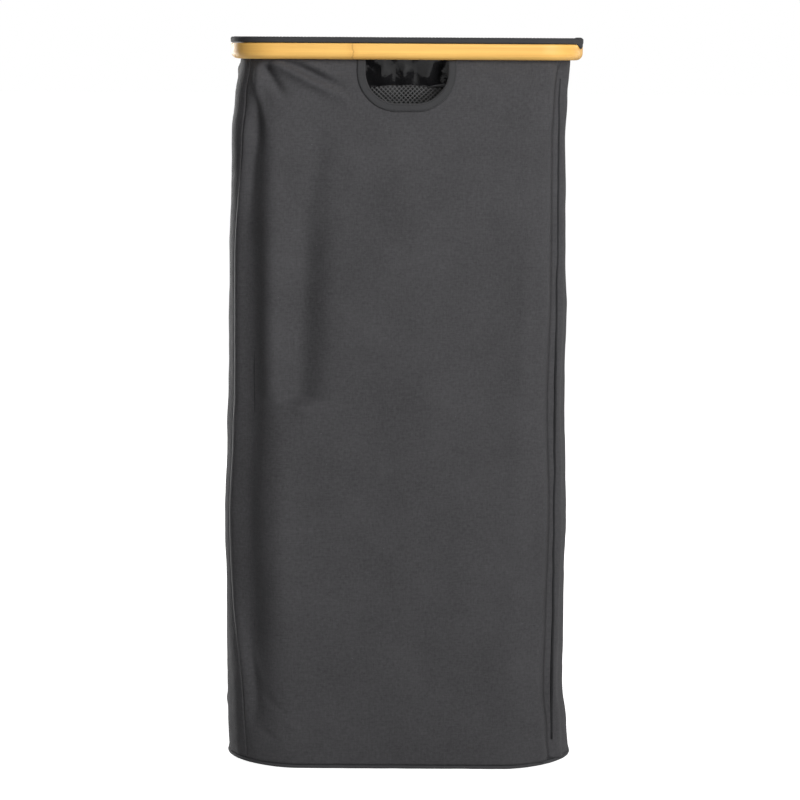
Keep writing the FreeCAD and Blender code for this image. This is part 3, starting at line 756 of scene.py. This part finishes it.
def in_grip(x, z, grow):
    """True inside the grip opening, made larger all round by grow."""
    bend = GRIP_BEND + grow
    over = max(abs(x) - GRIP_SIDE, 0.0)
    if z > GRIP_MID:
        return over < bend and z < RIM_UNDER
    return math.hypot(over, GRIP_MID - z) < bend


def wall(side, quarters, columns=132, rows=304):
    """One cloth wall, cut from the flat and hung between its two seams."""
    bm = bmesh.new()
    bmesh.ops.create_grid(bm, x_segments=columns, y_segments=rows, size=1)
    points = read_points(bm)
    z = WALL_FOOT + (points[:, 1] + 1) / 2 * (WALL_TOP - WALL_FOOT)
    bend, core = wall_shape(z)
    left, right = seam_limits(side, z)
    low, high = -(core + bend * left), core + bend * right
    run = low + (points[:, 0] + 1) / 2 * (high - low)
    x, y, nx, ny = ring_spot(run, bend, core)
    push = wall_push(side, run, z, quarters + 1)
    x, y = turned(x + nx * push, y + ny * push, quarters)
    dx, dz = slack(x, y, z)
    bm.verts.ensure_lookup_table()
    flat = np.stack([run, z], axis=1)
    layer = lay_flat(bm, lambda vert: flat[vert.index])
    hidden = []
    if side in ("front", "back"):
        for face in bm.faces:
            middle = sum((loop[layer].uv for loop in face.loops), Vector((0, 0))) / 4
            if in_grip(*middle, GRIP_TUCK):
                hidden.append(face)
    write_points(bm, np.stack([x + dx, y, z + dz], axis=1))
    bmesh.ops.delete(bm, geom=hidden, context="FACES")
    made = piece(f"{side}_wall", bm, "hamper", "cloth", OUTER_CLOTH, WALL_COATING,
                 stands_for=(f"{side}_panel",), solidify=CLOTH)


# ---- grip bindings -------------------------------------------------------------------


def grip_path_sweep(outline):
    """Carries an outline of (distance out from the opening, depth) round the D of
    the grip, from one end under the rim to the other. Built in X and Z, Y is depth."""
    bm = bmesh.new()
    top = RIM_UNDER - 0.2 * MM
    verts = [bm.verts.new((-GRIP_SIDE - GRIP_BEND - out, -deep, top)) for out, deep in outline]
    count = len(verts)
    edges = [bm.edges.new((verts[n], verts[(n + 1) % count])) for n in range(count)]
    bm.faces.new(verts)
    moving = verts + edges
    parts = 4
    runs = (((0, 0, GRIP_MID - top), (-GRIP_SIDE, 0, GRIP_MID)),
            ((2 * GRIP_SIDE, 0, 0), (GRIP_SIDE, 0, GRIP_MID)),
            ((0, 0, top - GRIP_MID), None))
    for stride, centre in runs:
        for _ in range(parts):
            moving = pulled(bm, moving, Vector(stride) / parts)
        if centre is not None:
            moving = swung(bm, moving, centre, (0, 1, 0), -QUARTER, 18)
    ends = [item for item in moving if isinstance(item, bmesh.types.BMEdge)]
    bmesh.ops.contextual_create(bm, geom=ends)
    bmesh.ops.remove_doubles(bm, verts=bm.verts, dist=1e-6)
    bmesh.ops.recalc_face_normals(bm, faces=bm.faces)
    return bm


def grip_spot(run, out):
    """A point round the grip, at a distance out from its edge, as (x, z)."""
    bend = GRIP_BEND + out
    upright = RIM_UNDER - GRIP_MID
    arc = bend * QUARTER
    spans = (upright, arc, 2 * GRIP_SIDE, arc, upright)
    run = min(max(run, 0.0), sum(spans))
    for number, span in enumerate(spans):
        if run <= span or number == 4:
            break
        run -= span
    if number == 0:
        return -GRIP_SIDE - bend, RIM_UNDER - run
    angle = run / bend
    if number == 1:
        return -GRIP_SIDE - bend * math.cos(angle), GRIP_MID - bend * math.sin(angle)
    if number == 2:
        return -GRIP_SIDE + run, GRIP_MID - bend
    if number == 3:
        return GRIP_SIDE + bend * math.sin(angle), GRIP_MID - bend * math.cos(angle)
    return GRIP_SIDE + bend, GRIP_MID + run


def face_depth(side, x, z, seed):
    """Y of the outer cloth on the front or back, as if seen from the front."""
    run = np.atleast_1d(np.asarray(x, float))
    heights = np.atleast_1d(np.asarray(z, float))
    bend, core = wall_shape(heights)
    return -(core + bend + wall_push(side, run, heights, seed))


STITCH_LONG = 2.3 * MM
STITCH_RADIUS = 0.32 * MM * 0.6


def stitch(bm, spot, along, up):
    """One short stitch: a small six-sided bar."""
    made = bmesh.ops.create_cone(bm, cap_ends=True, segments=6, radius1=STITCH_RADIUS,
                                 radius2=STITCH_RADIUS, depth=STITCH_LONG)["verts"]
    side = along.cross(up).normalized()
    frame_of = Matrix((side, up, along)).transposed().to_4x4()
    bmesh.ops.transform(bm, matrix=Matrix.Translation(spot) @ frame_of, verts=made)


def grip_binding(side, quarters):
    """Tape folded over the edge of a grip opening, with its two rows of stitches."""
    proud = 1.5 * MM
    inside = -2.2 * MM
    outline = rounded_outline((
        (-0.6 * MM, inside, 0.9 * MM), (-0.6 * MM, proud, 1.2 * MM),
        (BAND_WIDE, proud, 0.7 * MM), (BAND_WIDE, inside, 0.7 * MM)), steps=4)
    bm = grip_path_sweep(outline)
    points = read_points(bm)
    depth = face_depth(side, points[:, 0], points[:, 2], quarters + 1)
    ripple = wobble(points, 160.0, 21 + quarters) * 0.16 * MM
    points[:, 1] += depth + ripple
    x, y = turned(points[:, 0], points[:, 1], quarters)
    lay_flat(bm, lambda vert: vert.co.xz)
    write_points(bm, np.stack([x, y, points[:, 2]], axis=1))
    piece(f"{side}_grip_tape", bm, "hamper", "binding", BINDING_TAPE,
          stands_for=(f"{side}_grip_binding",))
    seams = bmesh.new()
    for out in (0.9 * MM, 5.8 * MM):
        length = 2 * (RIM_UNDER - GRIP_MID) + (GRIP_BEND + out) * math.pi + 2 * GRIP_SIDE
        count = int(length / (3.0 * MM))
        for number in range(count):
            run = (number + 0.5) / count * length
            spot_x, spot_z = grip_spot(run, out)
            next_x, next_z = grip_spot(run + 0.5 * MM, out)
            last_x, last_z = grip_spot(run - 0.5 * MM, out)
            deep = float(face_depth(side, spot_x, spot_z, quarters + 1)[0]) - proud
            ax, ay = turned(spot_x, deep - 0.02 * MM, quarters)
            dx, dy = turned(next_x - last_x, 0.0, quarters)
            ux, uy = turned(0.0, -1.0, quarters)
            stitch(seams, Vector((ax, ay, spot_z)),
                   Vector((dx, dy, next_z - last_z)).normalized(), Vector((ux, uy, 0)))
    piece(f"{side}_grip_stitches", seams, "hamper", "binding", THREAD)


# ---- rings ---------------------------------------------------------------------------


def bamboo_rim():
    rim_top = RIM_HIGH.z - 0.2 * MM
    outline = rounded_outline((
        (RIM_ROUND, RIM_LOW.z, 6.5 * MM), (RIM_ROUND, rim_top, 1.3 * MM),
        (35.3 * MM, rim_top, 1.2 * MM), (35.3 * MM, RIM_LOW.z, 1.2 * MM)), steps=6)
    bm = sweep_ring(outline, straight=24, corner=18)
    cut_on_ring(bm, outline, RIM_ROUND)
    points = read_points(bm)
    ripple = wobble(points, 14.0, 3) * 0.25 * MM
    points[:, 2] += ripple * (points[:, 2] < RIM_HIGH.z - 3 * MM)
    write_points(bm, points)
    piece("bamboo_rim_bar", bm, "hamper", "bamboo", BAMBOO, stands_for=("bamboo_rim",))


PIPING_BEND = FOOT_ROUND - 0.4 * MM


def base_piping():
    """The rolled seam at the foot, which follows the slipped walls."""
    low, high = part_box("base_piping")
    bend = PIPING_BEND
    middle = (low.z + high.z) / 2
    outline = [(bend + 1.6 * MM * math.cos(step * math.pi / 5),
                middle + 1.6 * MM * math.sin(step * math.pi / 5)) for step in range(10)]
    bm = sweep_ring(outline, straight=22, corner=22, core=FOOT_CORE)
    cut_on_ring(bm, outline, bend, core=FOOT_CORE)
    points = read_points(bm)
    ring = ring_radius(points[:, 0], points[:, 1], FOOT_CORE)
    dx, dz = slack(points[:, 0], points[:, 1], np.full(len(points), middle))
    uneven = wobble(points, 60.0, 5) * 0.25 * MM
    points[:, 0] += dx
    points[:, 2] += dz + np.abs(uneven) * (ring > bend)
    write_points(bm, points)
    piece("base_seam_piping", bm, "hamper", "piping", PIPING_TAPE, stands_for=("base_piping",))


def base_sheet():
    bend = PIPING_BEND
    bm = square_sheet(bend, 0.0, 90, FOOT_CORE)
    points = read_points(bm)
    ring = ring_radius(points[:, 0], points[:, 1], FOOT_CORE)
    dx, dz = slack(points[:, 0], points[:, 1], np.zeros(len(points)))
    inside = soft_step((62.5 * MM - ring) / (6 * MM))
    sag = (wobble(points, 30.0, 6) + 1) * 0.2 * MM
    rise = soft_step((ring - 60.5 * MM) / (5 * MM)) * 1.4 * MM
    points[:, 0] += dx * (1 - inside)
    points[:, 2] += 0.1 * MM + dz + rise + sag * inside
    write_points(bm, points)
    bmesh.ops.reverse_faces(bm, faces=bm.faces)
    made = piece("base_cloth_sheet", bm, "hamper", "base_cloth", BASE_CLOTH, WALL_COATING,
                 stands_for=("base_panel",), solidify=CLOTH)


# ---- the bag inside -------------------------------------------------------------------


def hem_drift(points):
    """How the upper edge of the net wanders up and down."""
    flat = points * (1, 1, 0)
    return (wobble(flat, 60.0, 41) * 1.3 + wobble(flat, 24.0, 42) * 2.6 + 0.8) * MM


def bag_net():
    bend = NET_HIGH.x - CORE
    rows = 72
    top = HEM_HIGH.z - 1.6 * MM
    outline = [(bend, NET_LOW.z + (top - NET_LOW.z) * row / rows)
               for row in range(rows + 1)]
    bm = sweep_ring(outline, closed=False, straight=12, corner=6)
    cut_on_ring(bm, outline, bend, closed=False)
    points = read_points(bm)
    share = np.clip((points[:, 2] - NET_LOW.z) / (top - NET_LOW.z), 0, 1)
    free = np.sin(share * math.pi) ** 0.6
    points[:, 2] += hem_drift(points) * soft_step((points[:, 2] - top + 60 * MM) / (60 * MM))
    push = (wobble(points, 9.0, 31) * 5.0 + wobble(points, 26.0, 32) * 1.6 - 2.0) * MM * free
    push_out(points, push)
    write_points(bm, points)
    made = piece("bag_net", bm, "hamper", "net", NET_THREAD, stands_for=("liner_mesh",))


def bag_base():
    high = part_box("liner_base")[1]
    bm = square_sheet(high.x - CORE, high.z, 48)
    points = read_points(bm)
    points[:, 2] += (wobble(points, 20.0, 33) + 1) * 0.6 * MM
    write_points(bm, points)
    made = piece("bag_base_net", bm, "hamper", "net", NET_THREAD, stands_for=("liner_base",))


def bag_hem():
    """The net's upper edge, rolled and sewn into an uneven cord."""
    inner = 12.9 * MM
    outer = HEM_HIGH.x - CORE
    foot = HEM_HIGH.z - 3 * MM
    outline = rounded_outline((
        (outer, foot, 1.0 * MM), (outer, HEM_HIGH.z, 1.0 * MM),
        (inner, HEM_HIGH.z, 1.0 * MM), (inner, foot, 1.0 * MM)), steps=3)
    bm = sweep_ring(outline, straight=48, corner=8)
    cut_on_ring(bm, outline, outer)
    points = read_points(bm)
    points[:, 2] += hem_drift(points)
    push_out(points, (wobble(points, 90.0, 43) * 1.1) * MM)
    write_points(bm, points)
    piece("bag_hem", bm, "hamper", "hem", HEM_TAPE, stands_for=("liner_hem",))


PLEAT = 24 * MM


def bag_band():
    """Shiny band of the bag: crumpled from its hem out to the hoop, then flat."""
    low_bend = 14.8 * MM
    top_bend = BAND_HIGH.x - CORE - 0.3 * MM
    knee = RIM_UNDER + 1 * MM
    rows = 16
    start = HEM_HIGH.z - 3 * MM
    outline = [(low_bend + (top_bend - low_bend) * (row / rows) ** 0.9,
                start + (knee - start) * row / rows) for row in range(rows + 1)]
    outline += [(top_bend, knee + (BAND_HIGH.z - knee) * row / 4) for row in range(1, 5)]
    bm = sweep_ring(outline, closed=False, straight=60, corner=12)
    cut_on_ring(bm, outline, top_bend, closed=False)
    points = read_points(bm)
    share = np.clip((points[:, 2] - start) / (knee - start), 0, 1)
    free = np.sin(share * math.pi) ** 0.8
    along = np.where(np.abs(points[:, 1]) > np.abs(points[:, 0]),
                     -points[:, 0] * np.sign(points[:, 1]), points[:, 1])
    pleat = np.abs((along / PLEAT + 0.02 + wobble(points, 30.0, 53) * 0.25) % 1 - 0.5) * 2
    crush = (1 - pleat) * 5.5 + wobble(points, 45.0, 51) * 2.2 + wobble(points, 110.0, 52) * 0.9
    push_out(points, -((crush - 2.0) * MM * free))
    points[:, 2] += hem_drift(points) * (1 - soft_step(share * 1.6))
    write_points(bm, points)
    post = abs(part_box("front_left_rod")[0].x) - 4 * MM
    eyelets = []
    for face in bm.faces:
        middle = face.calc_center_median()
        from_rod = math.hypot(abs(middle.x) - post, abs(middle.y) - post)
        if middle.z < knee and from_rod < 5.6 * MM:
            eyelets.append(face)
    bmesh.ops.delete(bm, geom=eyelets, context="FACES")
    made = piece("bag_band", bm, "hamper", "band", SHINY_BAND, stands_for=("liner_band",))


# ---- corner sleeves -------------------------------------------------------------------


def corner_sleeve(corner, sx, sy):
    """The cloth channel round a corner rod, with its flange to the seam."""
    low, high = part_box(f"{corner}_rod")
    radius = 3.9 * MM
    box_low, box_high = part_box(f"{corner}_sleeve")
    foot = Vector((sx * (max(abs(low.x), abs(high.x)) - 3 * MM),
                   sy * (max(abs(low.y), abs(high.y)) - 3 * MM), low.z))
    head = Vector((sx * (min(abs(low.x), abs(high.x)) + 3 * MM),
                   sy * (min(abs(low.y), abs(high.y)) + 3 * MM), high.z))
    bm = bmesh.new()
    bmesh.ops.create_cone(bm, cap_ends=False, segments=14, radius1=radius, radius2=radius,
                          depth=1)
    tall = [edge for edge in bm.edges
            if abs(edge.verts[0].co.z - edge.verts[1].co.z) > 0.5]
    bmesh.ops.subdivide_edges(bm, edges=tall, cuts=70, use_grid_fill=True)
    outward = Vector((sx, sy, 0)).normalized()
    sideways = Vector((-sy, sx, 0)).normalized()
    flange = bmesh.new()
    bmesh.ops.create_grid(flange, x_segments=3, y_segments=70, size=1)
    for part, is_tube in ((bm, True), (flange, False)):
        points = read_points(part)
        share = points[:, 2] + 0.5 if is_tube else (points[:, 1] + 1) / 2
        z = box_low.z + (box_high.z - box_low.z) * share
        lean = (z - foot.z) / (head.z - foot.z)
        cx = foot.x + (head.x - foot.x) * lean
        cy = foot.y + (head.y - foot.y) * lean
        if is_tube:
            swell = 1 + 0.10 * wobble(np.stack([cx, cy, z], axis=1), 55.0, 61)
            x, y = cx + points[:, 0] * swell, cy + points[:, 1] * swell
        else:
            out = (radius - 0.4 * MM) + (points[:, 0] + 1) / 2 * 6.6 * MM
            wave = wobble(np.stack([cx, cy, z], axis=1), 40.0, 62) * 1.2 * MM
            wave = wave * (points[:, 0] + 1) / 2
            x = cx + outward.x * out + sideways.x * wave
            y = cy + outward.y * out + sideways.y * wave
        write_points(part, np.stack([x, y, z], axis=1))
        lay_flat(part, lambda vert: (vert.co.x * 2, vert.co.z))
    tube = piece(f"{corner}_channel", bm, "hamper", "sleeve", SLEEVE_CLOTH,
                 stands_for=(f"{corner}_sleeve",), solidify=0.5 * MM)
    edge = piece(f"{corner}_seam_edge", flange, "hamper", "sleeve", SLEEVE_CLOTH,
                 solidify=1.0 * MM)


# ---- lid ---------------------------------------------------------------------------------

CROWN = 0.3 * MM
LID_SHEET_BEND = LID_HIGH.x - CORE - 1.2 * MM
LID_SEAM_BEND = LID_HIGH.x - CORE - 2.9 * MM
LID_STITCH_STEP = 3.2 * MM


def lid_top():
    bend = LID_SHEET_BEND
    bm = square_sheet(bend, LID_HIGH.z - 0.3 * MM, 96)
    points = read_points(bm)
    edge = np.clip((bend - ring_radius(points[:, 0], points[:, 1])) / bend, 0, 1)
    across = 1 - np.maximum(np.abs(points[:, 0]), np.abs(points[:, 1])) / (CORE + bend)
    points[:, 2] += CROWN * soft_step(across * 3) * np.minimum(edge + 0.7, 1)
    points[:, 2] += wobble(points, 16.0, 71) * 0.2 * MM + wobble(points, 50.0, 72) * 0.1 * MM
    write_points(bm, points)
    made = piece("lid_cover", bm, "lid", "lid_cloth", LID_CLOTH, stands_for=("lid_top_cloth",))


def lid_under():
    bend = LID_SHEET_BEND
    bm = square_sheet(bend, LID_LOW.z + 0.5 * MM, 60)
    points = read_points(bm)
    points[:, 2] += wobble(points, 22.0, 73) * 0.25 * MM
    write_points(bm, points)
    bmesh.ops.reverse_faces(bm, faces=bm.faces)
    made = piece("lid_lining_sheet", bm, "lid", "lining", LID_COATING,
                 stands_for=("lid_lining",))


def lid_binding():
    """Tape folded over the lid's edge, bunched at the front right corner."""
    outer = LID_HIGH.x - CORE + 0.5 * MM
    inner = outer - 4.6 * MM
    low, high = LID_LOW.z - 0.25 * MM, LID_HIGH.z + 0.1 * MM
    outline = rounded_outline((
        (outer, low, 1.2 * MM), (outer, high, 1.5 * MM),
        (inner, high, 0.5 * MM), (inner, low, 0.5 * MM)), steps=4)
    bm = sweep_ring(outline, straight=40, corner=22)
    cut_on_ring(bm, outline, outer)
    points = read_points(bm)
    x, y, z = points[:, 0], points[:, 1], points[:, 2]
    angle = np.degrees(np.arctan2(np.maximum(x - CORE, 0), np.maximum(-y - CORE, 1e-6)))
    bunch = np.exp(-((angle - 68) / 9) ** 2) * (x > CORE) * (-y > CORE - 1 * MM)
    rim_side = ring_radius(x, y) > outer - 1.6 * MM
    lower = np.clip((high - z) / (high - low), 0, 1)
    radial = np.stack([np.maximum(x - CORE, 0), -np.maximum(-y - CORE, 0)], axis=1)
    size = np.maximum(np.hypot(radial[:, 0], radial[:, 1]), 1e-9)[:, None]
    folds = 1 + 0.5 * np.sin(angle / 3.2)
    out = (1.3 * MM * folds * bunch * rim_side)[:, None]
    points[:, :2] += radial / size * out
    points[:, 2] -= 3.4 * MM * bunch * lower * rim_side * folds
    points[:, 2] += 0.7 * MM * bunch * (1 - lower) * folds
    points[:, 2] += wobble(points, 45.0, 74) * 0.15 * MM
    write_points(bm, points)
    piece("lid_edge_tape", bm, "lid", "binding", BINDING_TAPE, stands_for=("lid_edge_binding",))


def lid_stitches(name, height, up):
    """A row of stitches round the lid, lying on a face that looks up or down."""
    bm = bmesh.new()
    bend = LID_SEAM_BEND
    total = 4 * (2 * CORE + bend * QUARTER)
    count = int(total / LID_STITCH_STEP)
    side = total / 4
    for number in range(count):
        gone = (number + 0.5) / count * total
        quarters = int(gone / side)
        run = gone - quarters * side - side / 2
        x, y, nx, ny = (float(part) for part in ring_spot(np.array(run), bend))
        ax, ay = turned(x, y, quarters)
        dx, dy = turned(-ny, nx, quarters)
        stitch(bm, Vector((ax, ay, height)), Vector((dx, dy, 0)), Vector((0, 0, up)))
    piece(name, bm, "lid", "binding", THREAD)


# ---- cloth hinge ---------------------------------------------------------------------------


def tape_strip(name, node, body, line):
    """A woven tape along X that follows a line of (y, z) points."""
    low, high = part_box(node)
    bm = bmesh.new()
    verts = [bm.verts.new((low.x, y, z)) for y, z in line]
    edges = [bm.edges.new(pair) for pair in zip(verts, verts[1:])]
    columns = 70
    for _ in range(columns):
        grown = bmesh.ops.extrude_edge_only(bm, edges=edges)["geom"]
        edges = [item for item in grown if isinstance(item, bmesh.types.BMEdge)
                 and abs(item.verts[0].co.x - item.verts[1].co.x) < 1e-9
                 and not any(vert in verts for vert in item.verts)]
        verts = [item for item in grown if isinstance(item, bmesh.types.BMVert)]
        bmesh.ops.translate(bm, verts=verts, vec=((high.x - low.x) / columns, 0, 0))
    bmesh.ops.recalc_face_normals(bm, faces=bm.faces)
    points = read_points(bm)
    from_fold = np.hypot(points[:, 1] - HINGE_Y, points[:, 2] - HINGE_Z)
    loose = np.clip(from_fold / (6 * MM), 0, 1)
    points[:, 1] += (wobble(points, 60.0, 81) + 0.6) * 0.22 * MM * loose
    write_points(bm, points)
    lay_flat(bm, lambda vert: (vert.co.x, vert.co.z + vert.co.y))
    made = piece(name, bm, body, "tape", HINGE_TAPE, stands_for=(node,))
    wall = made.modifiers.new("thickness", "SOLIDIFY")
    wall.thickness = 0.8 * MM
    wall.offset = 0


def hinge_tapes():
    """The two halves of the cloth hinge, and the rolled fold between them."""
    low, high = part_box("rim_hinge_tape")
    half = high.x
    face = low.y + 0.5 * MM
    tape_strip("rim_side_tape", "rim_hinge_tape", "hamper",
               ((face, low.z), (face, low.z + 4.5 * MM), (face, low.z + 8.5 * MM),
                (face + 1.6 * MM, low.z + 10.4 * MM), (HINGE_Y - 1.4 * MM, HINGE_Z - 0.9 * MM)))
    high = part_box("lid_hinge_tape")[1]
    tape_strip("lid_side_tape", "lid_hinge_tape", "lid",
               ((HINGE_Y - 1.6 * MM, HINGE_Z + 0.5 * MM), (face + 1.4 * MM, HINGE_Z + 1.2 * MM),
                (face, HINGE_Z + 2.2 * MM), (face, high.z - 1.2 * MM), (face, high.z)))
    bm = bmesh.new()
    bmesh.ops.create_cone(bm, cap_ends=True, segments=12, radius1=1.7 * MM, radius2=1.7 * MM,
                          depth=2 * half - 2 * MM)
    long = [edge for edge in bm.edges
            if abs(edge.verts[0].co.z - edge.verts[1].co.z) > half]
    bmesh.ops.subdivide_edges(bm, edges=long, cuts=60, use_grid_fill=True)
    bmesh.ops.rotate(bm, verts=bm.verts, cent=(0, 0, 0), matrix=Matrix.Rotation(QUARTER, 3, "Y"))
    points = read_points(bm)
    swell = 1 + 0.10 * wobble(points, 70.0, 82)
    points[:, 1] = points[:, 1] * swell + HINGE_Y
    points[:, 2] = points[:, 2] * swell + HINGE_Z
    write_points(bm, points)
    lay_flat(bm, lambda vert: vert.co.xz)
    piece("hinge_fold", bm, "hamper", "tape", HINGE_TAPE)


# ---- put it together ----------------------------------------------------------------------

bamboo_rim()
for quarters, side in enumerate(SIDES):
    wall(side, quarters)
grip_binding("front", 0)
grip_binding("back", 2)
base_piping()
base_sheet()
bag_net()
bag_base()
bag_hem()
bag_band()
for corner, sx, sy in (("front_left", -1, -1), ("front_right", 1, -1),
                       ("back_left", -1, 1), ("back_right", 1, 1)):
    corner_sleeve(corner, sx, sy)
lid_top()
lid_under()
lid_binding()
lid_stitches("lid_top_stitches", LID_HIGH.z + 0.22 * MM, 1)
lid_stitches("lid_under_stitches", LID_LOW.z + 0.05 * MM, -1)
hinge_tapes()

CAD_FINISHES = {
    "inner_hoop": HOOP_CANE, "rim_screws": STEEL, "rod_end_caps": CAP_PLASTIC,
    "base_board": FIBREBOARD, "base_board_cover": COVER_CLOTH, "liner_studs": NICKEL,
    "lid_board": FIBREBOARD, "front_left_rod": ROD_STEEL, "front_right_rod": ROD_STEEL,
    "back_left_rod": ROD_STEEL, "back_right_rod": ROD_STEEL,
}
for node, finish in CAD_FINISHES.items():
    shown = frame["nodes"][node]
    shown.data.materials.clear()
    shown.data.materials.append(finish)

# ---- floor, light and camera ------------------------------------------------------------------


def seen_bare(tree):
    """1 where the camera looks at the backdrop with no net in between, else 0."""
    path = put(tree, "ShaderNodeLightPath")
    bare = reckon(tree, "LESS_THAN", path.outputs["Transparent Depth"], 0.5)
    return reckon(tree, "MULTIPLY", path.outputs["Is Camera Ray"], bare)


def floor():
    bm = bmesh.new()
    bmesh.ops.create_grid(bm, x_segments=2, y_segments=2, size=30)
    bmesh.ops.translate(bm, verts=bm.verts, vec=(0, 0, -0.6 * MM))
    mesh = bpy.data.meshes.new("floor")
    bm.to_mesh(mesh)
    bm.free()
    made = bpy.data.objects.new("floor", mesh)
    bpy.context.scene.collection.objects.link(made)
    finish, tree, shader = finish_of("pale_floor", Roughness=0.9, Specular_IOR_Level=0.0,
                                     Base_Color=(0.8, 0.8, 0.8, 1),
                                     Emission_Color=(1, 1, 1, 1))
    tree.links.new(reckon(tree, "MULTIPLY", seen_bare(tree), 0.98),
                   shader.inputs["Emission Strength"])
    mesh.materials.append(finish)


def lamp(name, place, aim, wide, tall, power):
    data = bpy.data.lights.new(name, "AREA")
    data.shape = "RECTANGLE"
    data.size, data.size_y = wide, tall
    data.energy = power
    made = bpy.data.objects.new(name, data)
    bpy.context.scene.collection.objects.link(made)
    made.location = place
    made.rotation_euler = (Vector(aim) - Vector(place)).to_track_quat("-Z", "Y").to_euler()


def lights():
    world = bpy.data.worlds.new("studio")
    bpy.context.scene.world = world
    world.use_nodes = True
    tree = world.node_tree
    back = next(node for node in tree.nodes if node.type == "BACKGROUND")
    back.inputs["Color"].default_value = (1, 1, 1, 1)
    tree.links.new(reckon(tree, "MULTIPLY_ADD", seen_bare(tree), 0.95, 0.05),
                   back.inputs["Strength"])
    middle = (0, 0, 0.36)
    lamp("key", (1.4, -2.0, 1.15), middle, 0.9, 1.5, 41)
    lamp("left_strip", (-1.5, 1.6, 0.6), middle, 0.4, 1.6, 58)
    lamp("right_strip", (1.6, 1.0, 0.6), middle, 0.4, 1.6, 10)
    lamp("rim_light", (0.15, -1.1, 1.35), (0, -0.1, 0.66), 0.9, 0.5, 7.5)


def camera():
    """Level with the lid, in front of the hamper, tipped down a little."""
    data = bpy.data.cameras.new("camera")
    data.lens = 116.4
    data.sensor_width = 36.0
    data.shift_y = -0.0749
    made = bpy.data.objects.new("camera", data)
    bpy.context.scene.collection.objects.link(made)
    away = 2.4
    made.location = (-5 * MM, CAD_LOW.y - away, LID_LOW.z + 4 * MM)
    tip, lean = math.radians(6.65), math.radians(0.33)
    made.rotation_euler = (Matrix.Rotation(QUARTER - tip, 3, "X")
                           @ Matrix.Rotation(lean, 3, "Z")).to_euler()
    bpy.context.scene.camera = made


floor()
lights()
camera()
bpy.context.scene.view_settings.view_transform = "Standard"
